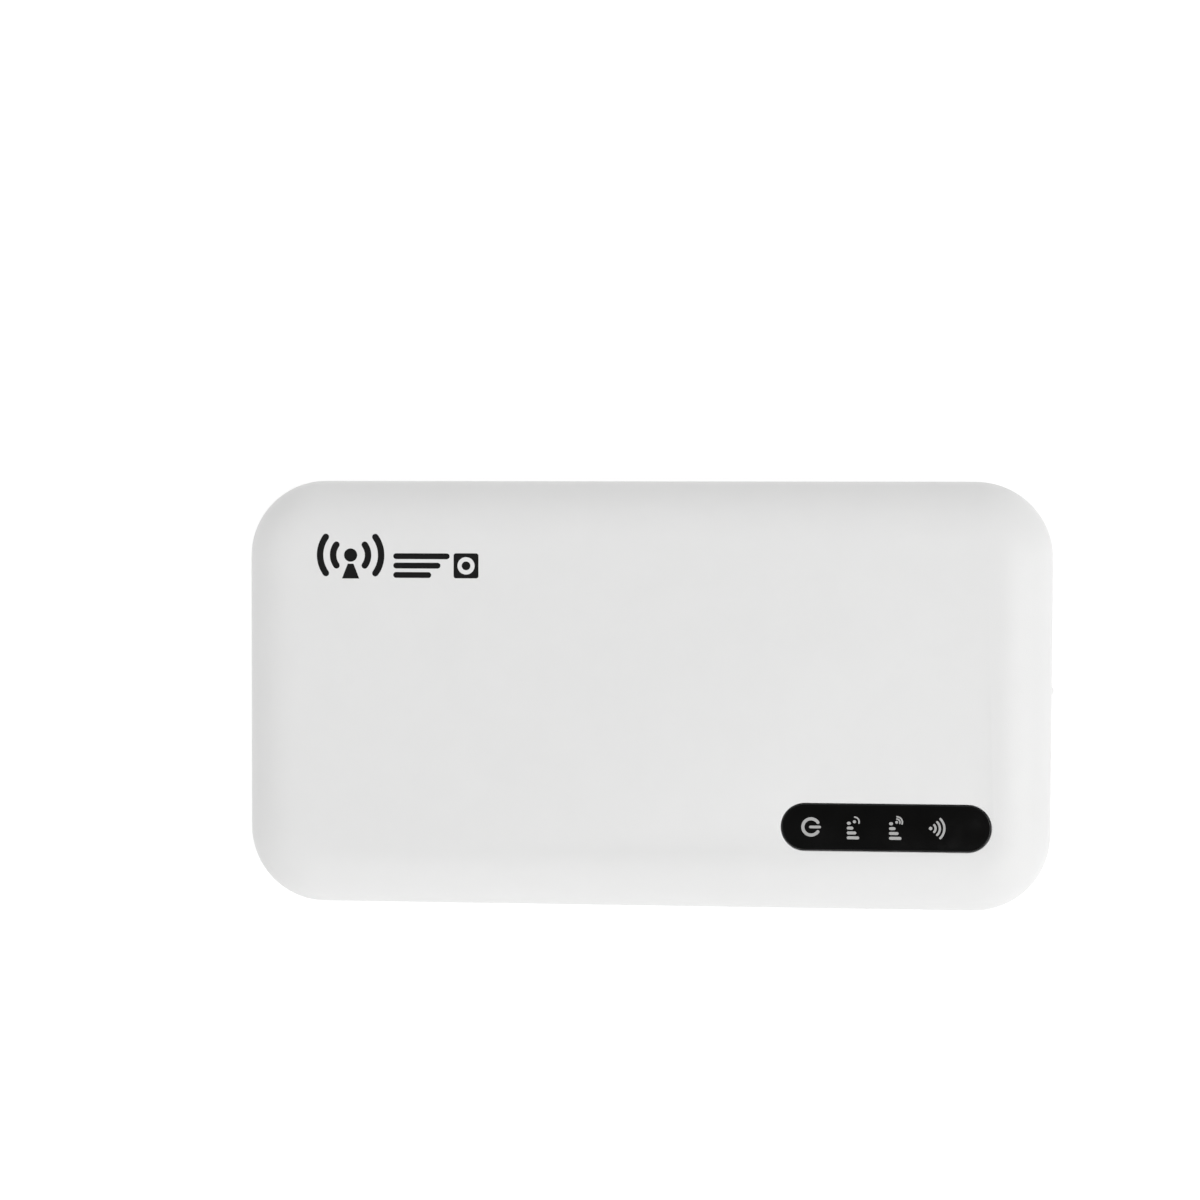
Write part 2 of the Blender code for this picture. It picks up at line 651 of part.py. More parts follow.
def make_reset_switch():
    side_switch("reset", RESET_Y, (62.4 * MM, 65.0 * MM), 3.4 * MM, 2.4 * MM, 66.0 * MM, (1.4 * MM, 1.0 * MM))


# ---------------------------------------------------------------- ports

def make_usb_port():
    bm = bmesh.new()
    length = USB_X[1] - USB_X[0]
    add_pill(bm, (length, *USB_SHELL), axis="X")
    shell = new_object("usb_c_shell", bm, (sum(USB_X) / 2, USB_Y, PORT_Z), STEEL)
    mouth = [side - 2 * USB_SHELL_WALL for side in USB_SHELL]
    bm = bmesh.new()
    add_pill(bm, (length, *mouth), axis="X")
    boolean(shell, new_object("usb_mouth", bm, (sum(USB_X) / 2 + USB_SHELL_WALL, USB_Y, PORT_Z), None))

    base_x, tongue_end = (USB_X[0] + 0.5 * MM, USB_X[0] + 2.0 * MM), USB_X[1] - 0.8 * MM
    tongue = block(
        "usb_c_tongue",
        (base_x[0], USB_Y - 3.9 * MM, PORT_Z - 1.1 * MM),
        (base_x[1], USB_Y + 3.9 * MM, PORT_Z + 1.1 * MM),
        DARK_PLASTIC,
        corner=1.0 * MM,
        axis="X",
    )
    blade = block(
        "usb_tongue_blade",
        (base_x[0] + 0.5 * MM, USB_Y - 3.3 * MM, PORT_Z - 0.35 * MM),
        (tongue_end, USB_Y + 3.3 * MM, PORT_Z + 0.35 * MM),
        None,
    )
    boolean(tongue, blade, "UNION")


def make_sim_tray():
    face_x = HALF_X - 0.05 * MM
    slide = new_frame("sim_tray_slide", (face_x, SIM_Y, PORT_Z))
    bm = bmesh.new()
    fascia_thick = face_x - TRAY_X[1]
    add_pill(bm, (fascia_thick, *FASCIA_SIZE), (-fascia_thick / 2, 0, 0), "X")
    tray = new_object("sim_tray", bm, slide.location, WHITE_PLASTIC, slide)

    blade = block(
        "tray_blade",
        (TRAY_X[0], SIM_Y - TRAY_WIDTH / 2, PORT_Z - TRAY_THICK / 2),
        (TRAY_X[1] + 0.3 * MM, SIM_Y + TRAY_WIDTH / 2, PORT_Z + TRAY_THICK / 2),
        None,
        corner=0.8 * MM,
        parent=slide,
    )
    boolean(tray, blade, "UNION")

    # The card lies in a pocket that is open above, on a floor with a window in it
    pocket_gap, floor = 0.15 * MM, 0.3 * MM
    card_middle = (TRAY_X[0] + 1.5 * MM + SIM_SIZE[0] / 2, SIM_Y)
    card_low_z = PORT_Z - TRAY_THICK / 2 + floor + 0.05 * MM
    for name, size, low, high in (
        ("card_pocket", [s + 2 * pocket_gap for s in SIM_SIZE[:2]], PORT_Z - TRAY_THICK / 2 + floor, PORT_Z + MM),
        ("card_window", [s - 2.4 * MM for s in SIM_SIZE[:2]], PORT_Z - 2 * MM, PORT_Z),
    ):
        bm = bmesh.new()
        add_block(bm, (*size, high - low))
        boolean(tray, new_object(name, bm, (*card_middle, (low + high) / 2), None, slide))

    # A slot across the fascia takes a fingernail
    nail_slot = block(
        "nail_slot",
        (face_x - 0.5 * MM, SIM_Y - 3.5 * MM, PORT_Z - 0.75 * MM),
        (face_x + MM, SIM_Y + 3.5 * MM, PORT_Z - 0.15 * MM),
        None,
        parent=slide,
    )
    boolean(tray, nail_slot)

    bm = bmesh.new()
    add_block(bm, SIM_SIZE)
    cut_corner = max(
        (edge for edge in bm.edges if abs(edge.verts[0].co.z - edge.verts[1].co.z) > SIM_SIZE[2] / 2),
        key=lambda edge: edge.verts[0].co.x + edge.verts[0].co.y,
    )
    bmesh.ops.bevel(bm, geom=[cut_corner], offset=1.6 * MM, segments=1, affect="EDGES")
    new_object("sim_card", bm, (*card_middle, card_low_z + SIM_SIZE[2] / 2), CREAM_PLASTIC, slide)


def make_sim_socket():
    cage_x, half_width = (50.6 * MM, 66.4 * MM), TRAY_WIDTH / 2 + 0.7 * MM
    low_z, high_z, sheet = 7.95 * MM, BOARD_BASE_Z - SOLDER_GAP, 0.2 * MM
    cage = block(
        "sim_socket_cage",
        (cage_x[0], SIM_Y - half_width, low_z),
        (cage_x[1], SIM_Y + half_width, high_z),
        STEEL,
    )
    channel = block(
        "sim_channel",
        (cage_x[0] - MM, SIM_Y - half_width + sheet, low_z + sheet),
        (cage_x[1] + MM, SIM_Y + half_width - sheet, high_z - sheet),
        None,
    )
    boolean(cage, channel)
    base_gap = 0.1 * MM
    block(
        "sim_socket_base",
        (cage_x[0] + 0.3 * MM, SIM_Y - half_width + sheet + base_gap, 9.75 * MM),
        (cage_x[1] - 0.5 * MM, SIM_Y + half_width - sheet - base_gap, high_z - sheet - base_gap),
        DARK_PLASTIC,
    )


# ---------------------------------------------------------------- battery

def make_battery():
    bm = bmesh.new()
    size = Vector((CELL_X[1] - CELL_X[0], 2 * CELL_HALF_Y, CELL_Z[1] - CELL_Z[0]))
    add_block(bm, size, corner=1.2 * MM, axis="X", steps=3)
    new_object("battery_cell", bm, (sum(CELL_X) / 2, 0, sum(CELL_Z) / 2), CELL_FOIL)
    middle_x = sum(CELL_X) / 2
    block(
        "battery_tape",
        (middle_x - 22 * MM, -25 * MM, CELL_Z[1] + 0.15 * MM),
        (middle_x + 22 * MM, 25 * MM, CEILING_Z - 0.15 * MM),
        FOAM,
    )
    block(
        "battery_foam",
        (middle_x - 16 * MM, -18 * MM, FLOOR_Z + 0.2 * MM),
        (middle_x + 16 * MM, 18 * MM, CELL_Z[0] - 0.2 * MM),
        FOAM,
        corner=2 * MM,
    )
    block("battery_protection_board", (4.6 * MM, -16 * MM, 8.0 * MM), (7.8 * MM, 16 * MM, 9.0 * MM), BOARD_GREEN)

    socket_x, plug_y, plug_z = (12.8 * MM, 17.6 * MM), -17.0 * MM, 8.9 * MM
    socket = block(
        "battery_socket",
        (socket_x[0], plug_y - 3.6 * MM, plug_z - 1.65 * MM),
        (socket_x[1], plug_y + 3.6 * MM, plug_z + 1.65 * MM),
        CREAM_PLASTIC,
    )
    mouth = block(
        "battery_socket_mouth",
        (socket_x[0] - MM, plug_y - 3.0 * MM, plug_z - 1.1 * MM),
        (socket_x[1] - 1.2 * MM, plug_y + 3.0 * MM, plug_z + 1.1 * MM),
        None,
    )
    boolean(socket, mouth)
    plug_x = (10.6 * MM, 16.0 * MM)
    block(
        "battery_plug",
        (plug_x[0], plug_y - 2.8 * MM, plug_z - 0.9 * MM),
        (plug_x[1], plug_y + 2.8 * MM, plug_z + 0.9 * MM),
        CREAM_PLASTIC,
    )
    for word, material, pad_y, pin_y in (
        ("red", WIRE_RED, -11.0, -15.8),
        ("black", CABLE_BLACK, -14.0, -18.2),
    ):
        route = [
            (6.2, pad_y, 7.7),
            (6.2, pad_y - 0.6, 6.3),
            (6.7, pad_y - 2.5, 5.9),
            (7.9, pin_y + 0.3, 6.6),
            (9.0, pin_y, 8.2),
            (9.7, pin_y, 8.8),
            (10.3, pin_y, 8.9),
        ]
        wire(f"battery_lead_{word}", route, 0.5 * MM, material, 1.3 * MM)


# ---------------------------------------------------------------- antennas

def make_antennas():
    for side, word in ((-1, "front"), (1, "back")):
        outer, inner = (side * (INNER_Y - ANTENNA_WALL_GAP - k * ANTENNA_THICK) for k in (0, 1))
        low_y, high_y = sorted((outer, inner))
        block(
            f"antenna_{word}",
            (16 * MM, low_y, ANTENNA_Z[0]),
            (54 * MM, high_y, ANTENNA_Z[1]),
            FLEX_AMBER,
        )
        low_y, high_y = sorted((side * 2 * MM, side * 21 * MM))
        left_x = -(INNER_X - ANTENNA_WALL_GAP)
        block(
            f"antenna_left_{word}",
            (left_x, low_y, ANTENNA_Z[0]),
            (left_x + ANTENNA_THICK, high_y, ANTENNA_Z[1]),
            FLEX_AMBER,
        )
        make_antenna_clip(f"antenna_clip_{word}", side, inner)

        plug_place = (18 * MM, side * 24 * MM, 0)
        plug_z = (9.3 * MM, BOARD_BASE_Z - SOLDER_GAP)
        profile = [
            (0, plug_z[1]),
            (1.0 * MM, plug_z[1]),
            (1.0 * MM, plug_z[0] + 0.5 * MM),
            (1.4 * MM, plug_z[0] + 0.5 * MM),
            (1.4 * MM, plug_z[0]),
            (0, plug_z[0]),
        ]
        turned(f"coax_plug_{word}", profile, plug_place, COPPER_GOLD, 20)
        route = [
            (-66.4, side * 12, 9.6),
            (-66.2, side * 16, 9.6),
            (-65.2, side * 22, 9.6),
            (-62.0, side * 27.5, 9.6),
            (-56.5, side * 31.0, 9.6),
            (-50.0, side * 32.5, 9.6),
            (-38.0, side * 32.8, 9.6),
            (-24.0, side * 32.8, 9.6),
            (-10.0, side * 32.8, 9.6),
            (0.0, side * 32.5, 9.5),
            (6.5, side * 30.6, 9.4),
            (10.0, side * 26.6, 9.4),
            (13.2, side * 24.3, 9.4),
            (16.3, side * 24.0, 9.4),
        ]
        wire(f"coax_cable_{word}", route, COAX_R, CABLE_BLACK, 3.0 * MM)


def make_antenna_clip(name, side, antenna_y):
    """A bent spring of thin sheet that stands under the board's edge and presses on the antenna."""
    sheet, width, foot_y = 0.15 * MM, 1.6 * MM, 31.4 * MM
    reach_y = abs(antenna_y) - 0.15 * MM
    high_z, low_z, touch_z = BOARD_BASE_Z - SOLDER_GAP - sheet, 8.2 * MM, 9.4 * MM
    bends = [
        (foot_y, high_z),
        (foot_y - 1.4 * MM, high_z),
        (foot_y - 1.4 * MM, low_z + 0.4 * MM),
        (foot_y - 1.0 * MM, low_z),
        (foot_y + 0.6 * MM, low_z),
        (reach_y - sheet, touch_z - 0.5 * MM),
        (reach_y, touch_z),
        (reach_y - 0.4 * MM, touch_z + 0.5 * MM),
    ]
    bm = bmesh.new()
    rows = [[bm.verts.new((x, side * y, z)) for x in (-width / 2, width / 2)] for y, z in bends]
    for first, second in zip(rows, rows[1:]):
        bm.faces.new((first[0], first[1], second[1], second[0]))
    bmesh.ops.recalc_face_normals(bm, faces=bm.faces)
    clip = new_object(name, bm, (24 * MM, 0, 0), COPPER_GOLD)
    solidify = clip.modifiers.new("sheet", "SOLIDIFY")
    solidify.thickness = sheet
    solidify.offset = 0


make_top_cover()
make_bottom_cover()
make_feet_and_case_screws()
make_indicators()
make_board()
make_board_parts()
make_power_button()
make_reset_switch()
make_usb_port()
make_sim_tray()
make_sim_socket()
make_battery()
make_antennas()
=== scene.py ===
"""The look of the mobile hotspot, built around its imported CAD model.

Fine covers, window, prints, controls and ports take the place of the plain CAD ones, at the places that
the CAD nodes' boxes give. The pieces inside keep their CAD shape and get procedural materials.
"""

import math

import bmesh
import bpy
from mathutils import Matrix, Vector


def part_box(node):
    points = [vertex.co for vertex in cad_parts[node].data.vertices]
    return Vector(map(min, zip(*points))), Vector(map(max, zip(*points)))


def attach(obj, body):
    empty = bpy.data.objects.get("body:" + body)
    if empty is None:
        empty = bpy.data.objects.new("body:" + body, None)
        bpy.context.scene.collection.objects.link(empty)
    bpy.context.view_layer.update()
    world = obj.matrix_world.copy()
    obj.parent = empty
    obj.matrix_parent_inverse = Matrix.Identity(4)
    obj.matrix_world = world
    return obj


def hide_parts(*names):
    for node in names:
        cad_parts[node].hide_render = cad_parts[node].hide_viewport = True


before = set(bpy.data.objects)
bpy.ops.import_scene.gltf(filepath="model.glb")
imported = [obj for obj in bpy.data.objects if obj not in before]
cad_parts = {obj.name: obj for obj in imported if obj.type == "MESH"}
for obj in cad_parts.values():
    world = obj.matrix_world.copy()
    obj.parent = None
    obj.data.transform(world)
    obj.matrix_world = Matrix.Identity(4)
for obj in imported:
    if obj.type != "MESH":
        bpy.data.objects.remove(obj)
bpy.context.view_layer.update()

MM = 0.001

# The case's form, as in the CAD model
CORNER = 13.3 * MM
WALL = 1.8 * MM
TOP_EDGE = 10.0 * MM
BASE_EDGE = 7.5 * MM
BAND_TOP_Z = 11.2 * MM
BAND_BASE_Z = 5.8 * MM
PARTING_GAP = 0.3 * MM
LIP_GAP = 0.3 * MM
LIP_THICK = 1.2 * MM
RIM = 0.22 * MM  # rounding of the two covers' edges at the parting line
CASE_STEPS = 28
WINDOW_STEPS = 24
ROUND_STEPS = 16

# Half sizes that a piece and its cut-out in the wall share, across (Y) and up (Z)
BUTTON_HALF = (4.5 * MM, 1.5 * MM)
TRAY_HALF_Z = 1.2 * MM
RESET_HOLE_R = 0.55 * MM

SHARP_ANGLE = math.radians(32)
SAME_POINT = 1e-7
MERGE = 0.002 * MM  # points of a carved piece closer than this become one
OVERLAP = 0.3 * MM  # how far a joined shape goes into the one that it is joined to


# ---------------------------------------------------------------- surfaces

NOISE_SPAN = (0.32, 0.68)  # where nearly all of a noise texture's values lie


class Surface:
    """A Principled material, with the node chains that vary its colour, roughness and relief."""

    def __init__(self, name, colour, roughness, metallic=0.0, **settings):
        self.material = bpy.data.materials.new(name)
        self.material.use_nodes = True
        self.tree = self.material.node_tree
        self.shader = self.tree.nodes["Principled BSDF"]
        self.colour = colour
        values = {"Base Color": (*colour, 1), "Roughness": roughness, "Metallic": metallic, **settings}
        for socket, value in values.items():
            self.shader.inputs[socket].default_value = value
        places = self.node("ShaderNodeTexCoord").outputs
        self.coords, self.normal = places["Object"], places["Normal"]

    def node(self, kind, inputs=None, **attributes):
        node = self.tree.nodes.new(kind)
        for key, value in attributes.items():
            setattr(node, key, value)
        for key, value in (inputs or {}).items():
            if isinstance(value, bpy.types.NodeSocket):
                self.tree.links.new(value, node.inputs[key])
            else:
                node.inputs[key].default_value = value
        return node

    def stretched(self, stretch):
        mapping = self.node("ShaderNodeMapping", {"Vector": self.coords, "Scale": stretch})
        return mapping.outputs["Vector"]

    def noise(self, size, detail=2.0, stretch=None):
        """A cloudy value about one size across, in metres, spread over 0 to 1."""
        vector = self.stretched(stretch) if stretch else self.coords
        noise = self.node("ShaderNodeTexNoise", {"Vector": vector, "Scale": 1 / size, "Detail": detail})
        return self.ramp(noise.outputs["Fac"], *NOISE_SPAN)

    def ramp(self, value, low, high, to_low=0.0, to_high=1.0):
        inputs = {"Value": value, "From Min": low, "From Max": high, "To Min": to_low, "To Max": to_high}
        return self.node("ShaderNodeMapRange", inputs, clamp=True).outputs["Result"]

    def join(self, operation, first, second):
        """A sum, product or the like of two values, each a number or a socket."""
        return self.node("ShaderNodeMath", {0: first, 1: second}, operation=operation).outputs["Value"]

    def vector(self, operation, first, second=(0, 0, 0)):
        """A step with vectors, which gives a vector, or a number for a length or a dot product."""
        node = self.node("ShaderNodeVectorMath", {0: first, 1: second}, operation=operation)
        return node.outputs["Value" if operation in ("LENGTH", "DOT_PRODUCT") else "Vector"]

    def paint(self, factor, low_colour, high_colour):
        """The base colour goes from one colour to the other with a factor."""
        mix = self.node("ShaderNodeMix", data_type="RGBA")
        self.tree.links.new(factor, mix.inputs["Factor"])
        for socket, colour in (("A", low_colour), ("B", high_colour)):
            sockets = [s for s in mix.inputs if s.name == socket and s.type == "RGBA"]
            sockets[0].default_value = (*colour, 1)
        output = [s for s in mix.outputs if s.type == "RGBA"][0]
        self.tree.links.new(output, self.shader.inputs["Base Color"])
        return self

    def mottle(self, factor, amount):
        """The base colour gets darker and lighter by that share of it."""
        low, high = ([min(1.0, c * (1 + side * amount)) for c in self.colour] for side in (-1, 1))
        return self.paint(factor, low, high)

    def dull(self, factor, low, high):
        """The roughness goes from low to high with a factor."""
        self.tree.links.new(self.ramp(factor, 0, 1, low, high), self.shader.inputs["Roughness"])
        return self

    def emboss(self, height, depth):
        """Relief of that depth, in metres, on top of any relief there is."""
        normal = self.shader.inputs["Normal"]
        bump = self.node("ShaderNodeBump", {"Height": height, "Distance": depth})
        if normal.links:
            self.tree.links.new(normal.links[0].from_socket, bump.inputs["Normal"])
        self.tree.links.new(bump.outputs["Normal"], normal)
        return self


def moulded(name, colour, roughness, grain=0.12 * MM, depth=0.006 * MM, mottle=0.012, **settings):
    """Moulded plastic or rubber: a fine even grain, and a faint cloudiness in colour and gloss."""
    cloud_size, gloss_size, gloss_swing = 7 * MM, 1.6 * MM, 0.05
    surface = Surface(name, colour, roughness, **settings)
    surface.mottle(surface.noise(cloud_size, 3), mottle)
    surface.dull(surface.noise(gloss_size, 4), roughness - gloss_swing, roughness + gloss_swing)
    surface.emboss(surface.noise(grain, 1), depth)
    return surface


def metal(name, colour, roughness, stretch=(1, 1, 1), grain=0.1 * MM, depth=0.0006 * MM, **settings):
    """Sheet or turned metal with its rolling or turning marks drawn out along one axis."""
    stain_size, stain, least_roughness = 2.5 * MM, 0.06, 0.04
    surface = Surface(name, colour, roughness, 1.0, **settings)
    marks = surface.noise(grain, 3, stretch)
    surface.mottle(surface.noise(stain_size, 4), stain)
    surface.dull(marks, max(least_roughness, roughness - 0.08), roughness + 0.1)
    surface.emboss(marks, depth)
    return surface


# How a metal's marks are drawn out
ALONG_X = (0.06, 1, 1)
ALONG_Z = (1, 1, 0.06)

white_plastic = moulded("white_plastic", (0.770, 0.770, 0.767), 0.46, mottle=0.006)
black_window = Surface("black_window", (0.0035, 0.0035, 0.0034), 0.10, **{"Specular IOR Level": 0.45})
black_window.mottle(black_window.noise(9 * MM, 3), 0.25)
black_window.dull(black_window.noise(4 * MM, 5), 0.07, 0.15)
black_window.emboss(black_window.noise(12 * MM, 1), 0.004 * MM)
icon_print = moulded(
    "icon_print", (0.415, 0.415, 0.410), 0.34, grain=0.08 * MM, depth=0.002 * MM, mottle=0.03
)
dark_print = moulded(
    "dark_print",
    (0.0048, 0.0048, 0.0048),
    0.50,
    grain=0.08 * MM,
    depth=0.003 * MM,
    mottle=0.10,
    **{"Specular IOR Level": 0.16},
)
dark_plastic = moulded("dark_plastic", (0.022, 0.022, 0.023), 0.50, mottle=0.10)
cream_plastic = moulded("cream_plastic", (0.80, 0.75, 0.62), 0.44, mottle=0.02)
clear_plastic = moulded(
    "clear_plastic", (0.90, 0.91, 0.90), 0.16, depth=0.001 * MM, **{"Transmission Weight": 0.6}
)
cable_black = moulded(
    "cable_black", (0.020, 0.020, 0.020), 0.38, grain=0.3 * MM, depth=0.008 * MM, mottle=0.10
)
wire_red = moulded("wire_red", (0.50, 0.018, 0.015), 0.38, grain=0.3 * MM, depth=0.008 * MM, mottle=0.05)
led_package = moulded("led_package", (0.85, 0.80, 0.42), 0.28, mottle=0.03)
ferrite = moulded("ferrite", (0.055, 0.055, 0.060), 0.62, grain=0.05 * MM, depth=0.006 * MM, mottle=0.15)
silicone_grey = moulded(
    "silicone_grey", (0.40, 0.45, 0.50), 0.72, grain=0.5 * MM, depth=0.02 * MM, mottle=0.04
)
foam = moulded("foam", (0.05, 0.05, 0.052), 0.92, grain=0.25 * MM, depth=0.09 * MM, mottle=0.30)
foot_rubber = moulded(
    "foot_rubber", (0.055, 0.055, 0.056), 0.78, grain=0.10 * MM, depth=0.010 * MM, mottle=0.12
)

steel = metal("steel", (0.56, 0.57, 0.58), 0.24, ALONG_X)
tin_plate = metal("tin_plate", (0.68, 0.68, 0.66), 0.28, ALONG_X)
aluminium = metal("aluminium", (0.77, 0.78, 0.79), 0.34, ALONG_X, grain=0.16 * MM)
screw_steel = metal("screw_steel", (0.50, 0.50, 0.51), 0.28, ALONG_Z)
contact_gold = metal("contact_gold", (0.86, 0.63, 0.26), 0.20, grain=0.05 * MM, depth=0.001 * MM)

label_film = moulded(
    "label_film", (0.66, 0.67, 0.68), 0.42, grain=0.35 * MM, depth=0.003 * MM, mottle=0.015
)
label_ink = moulded("label_ink", (0.10, 0.10, 0.105), 0.46, grain=0.1 * MM, depth=0.002 * MM, mottle=0.05)

flex_amber = Surface(
    "flex_amber", (0.50, 0.23, 0.035), 0.34, **{"Coat Weight": 0.4, "Coat Roughness": 0.12}
)
copper_under_film = flex_amber.node(
    "ShaderNodeTexBrick",
    {
        "Vector": flex_amber.coords,
        "Scale": 1 / (4 * MM),
        "Mortar Size": 0.06,
        "Color1": (1, 1, 1, 1),
        "Color2": (0.75, 0.75, 0.75, 1),
        "Mortar": (0, 0, 0, 1),
    },
)
flex_amber.paint(copper_under_film.outputs["Color"], (0.36, 0.15, 0.02), (0.60, 0.29, 0.07))
flex_amber.dull(flex_amber.noise(1.2 * MM, 3), 0.28, 0.42)
flex_amber.emboss(copper_under_film.outputs["Fac"], 0.02 * MM)

cell_foil = Surface("cell_foil", (0.56, 0.57, 0.58), 0.34, 0.75)
creases = cell_foil.noise(3.5 * MM, 5)
cell_foil.mottle(creases, 0.05).dull(creases, 0.26, 0.42)
cell_foil.emboss(creases, 0.06 * MM)


def make_board_green():
    """Solder mask over tracks: in each patch the tracks run one way or the other, or there are none.
    The board's sides have no tracks."""
    patch_size, track_pitch = 5 * MM, 2.6 * MM
    surface = Surface("board_green", (0.012, 0.105, 0.050), 0.34, **{"Coat Weight": 0.3})
    patches = surface.node(
        "ShaderNodeTexVoronoi", {"Vector": surface.coords, "Scale": 1 / patch_size}, distance="CHEBYCHEV"
    )
    patch = surface.node("ShaderNodeSeparateColor", {"Color": patches.outputs["Color"]}).outputs
    bands = [
        surface.node(
            "ShaderNodeTexWave",
            {"Vector": surface.coords, "Scale": 1 / track_pitch},
            bands_direction=direction,
        ).outputs["Fac"]
        for direction in "XY"
    ]
    along_x, along_y = (surface.ramp(band, 0.72, 0.78) for band in bands)
    turned = surface.ramp(patch["Red"], 0.49, 0.51)
    kept = surface.ramp(patch["Green"], 0.30, 0.32)
    across = surface.join("MULTIPLY", along_x, surface.ramp(turned, 0, 1, 1, 0))
    tracks = surface.join("MAXIMUM", across, surface.join("MULTIPLY", along_y, turned))
    tracks = surface.join("MULTIPLY", tracks, kept)
    facing = surface.node("ShaderNodeSeparateXYZ", {"Vector": surface.normal}).outputs["Z"]
    level = surface.ramp(surface.join("MULTIPLY", facing, facing), 0.4, 0.6)
    tracks = surface.join("MULTIPLY", tracks, level)
    surface.paint(tracks, (0.010, 0.088, 0.040), (0.030, 0.185, 0.080))
    surface.dull(surface.noise(1.5 * MM, 3), 0.26, 0.40)
    surface.emboss(tracks, 0.03 * MM)
    return surface


board_green = make_board_green()


# ---------------------------------------------------------------- shapes

def outline(half_u, half_v, radius, steps=ROUND_STEPS):
    """Points of a rectangle with round corners, anticlockwise. Two corners that meet share a point."""
    points = []
    for quarter, (side_u, side_v) in enumerate(((1, 1), (-1, 1), (-1, -1), (1, -1))):
        for k in range(steps + 1):
            angle = math.pi / 2 * (quarter + k / steps)
            u = side_u * (half_u - radius) + radius * math.cos(angle)
            v = side_v * (half_v - radius) + radius * math.sin(angle)
            points.append(Vector((u, v)))
    pairs = zip([points[-1], *points], points)
    return [point for before, point in pairs if (point - before).length > SAME_POINT]


def stand(points, w, axis="Z"):
    """Outline points (u, v) at a place w along an axis."""
    if axis == "X":
        return [(w, u, v) for u, v in points]
    return [(u, v, w) for u, v in points]


def loft(bm, rings):
    """Joins rings of points with faces, and closes the first and the last."""
    rows = [[bm.verts.new(point) for point in ring] for ring in rings]
    for low, high in zip(rows, rows[1:]):
        for k in range(len(low)):
            bm.faces.new((low[k - 1], low[k], high[k], high[k - 1]))
    bm.faces.new(rows[0][::-1])
    bm.faces.new(rows[-1])


def band(bm, outer, inner, low, high):
    """A flat closed ring between two outlines that have the same number of points."""
    rings = [stand(points, z) for points, z in ((outer, high), (outer, low), (inner, low), (inner, high))]
    rows = [[bm.verts.new(point) for point in ring] for ring in rings]
    for row, following in zip(rows, rows[1:] + rows[:1]):
        for k in range(len(row)):
            bm.faces.new((row[k - 1], row[k], following[k], following[k - 1]))


def stack(bm, centre, half, radius, profile, axis="Z", steps=ROUND_STEPS, least_radius=0):
    """Lofts a rounded rectangle along an axis. The profile is (place, offset) pairs. The offset grows the
    outline and its corners' radius, which is never less than the least."""
    rings = []
    for place, offset in profile:
        corner = max(least_radius, radius + offset)
        points = outline(half[0] + offset, half[1] + offset, corner, steps)
        rings.append(stand([point + Vector(centre) for point in points], place, axis))
    loft(bm, rings)


def out_then_along(place, offset, to_place, to_offset, steps):
    """A quarter of an ellipse that sets out across the axis and ends along it."""
    for k in range(steps + 1):
        angle = math.pi / 2 * k / steps
        yield (
            place + (to_place - place) * (1 - math.cos(angle)),
            offset + (to_offset - offset) * math.sin(angle),
        )


def along_then_in(place, offset, to_place, to_offset, steps):
    """A quarter of an ellipse that sets out along the axis and ends across it."""
    for k in range(steps + 1):
        angle = math.pi / 2 * k / steps
        yield (
            place + (to_place - place) * math.sin(angle),
            offset + (to_offset - offset) * (1 - math.cos(angle)),
        )


def bar(low, high, low_round, high_round, steps=5):
    """The profile of a solid with rounded ends."""
    return [
        *out_then_along(low, -low_round, low + low_round, 0, steps),
        *along_then_in(high - high_round, 0, high, -high_round, steps),
    ]


def crowned(place, rise, offset, reach, steps=5):
    """Carries a profile on from an end face, over a low crown, until it has shrunk by the reach."""
    for k in range(1, steps + 1):
        share = k / steps
        yield place + rise * (1 - (1 - share) ** 2), offset - (reach + offset) * share


def mouth(inside, face, rounding, steps=5):
    """The profile of a cutter that leaves a rounded edge where it comes out through a flat face."""
    way, flare = math.copysign(1, face - inside), 1.01
    return [
        (inside, 0),
        *along_then_in(face - way * rounding, 0, face, rounding, steps),
        (face + way * MM, rounding * flare),
    ]


def turn(profile, places, steps=ROUND_STEPS):
    """Discs of the given radii, stacked along Z at each of several places: bosses and drilled holes."""
    bm = bmesh.new()
    for place in places:
        rings = [stand([p + Vector(place) for p in outline(r, r, r, steps)], z) for z, r in profile]
        loft(bm, rings)
    return bm


def solid(name, bm):
    """Makes a piece of a bmesh, with its faces outward, and frees the bmesh."""
    bmesh.ops.recalc_face_normals(bm, faces=bm.faces)
    mesh = bpy.data.meshes.new(name)
    bm.to_mesh(mesh)
    bm.free()
    obj = bpy.data.objects.new(name, mesh)
    bpy.context.scene.collection.objects.link(obj)
    return obj


def carve(obj, *steps):
    """Applies Boolean steps, each (operation, bmesh), to a piece."""
    tools = []
    for operation, bm in steps:
        tool = solid(f"{obj.name}_tool", bm)
        modifier = obj.modifiers.new(tool.name, "BOOLEAN")
        modifier.operation = operation
        modifier.solver = "EXACT"
        modifier.object = tool
        tools.append(tool)
    bpy.context.view_layer.update()
    shaped = bpy.data.meshes.new_from_object(obj.evaluated_get(bpy.context.evaluated_depsgraph_get()))
    obj.modifiers.clear()
    obj.data = shaped
    for tool in tools:
        bpy.data.objects.remove(tool)

    # Slivers that the steps leave where two surfaces meet along their points
    bm = bmesh.new()
    bm.from_mesh(shaped)
    bmesh.ops.remove_doubles(bm, verts=bm.verts, dist=MERGE)
    bmesh.ops.dissolve_degenerate(bm, dist=MERGE, edges=bm.edges)
    bm.to_mesh(shaped)
    bm.free()


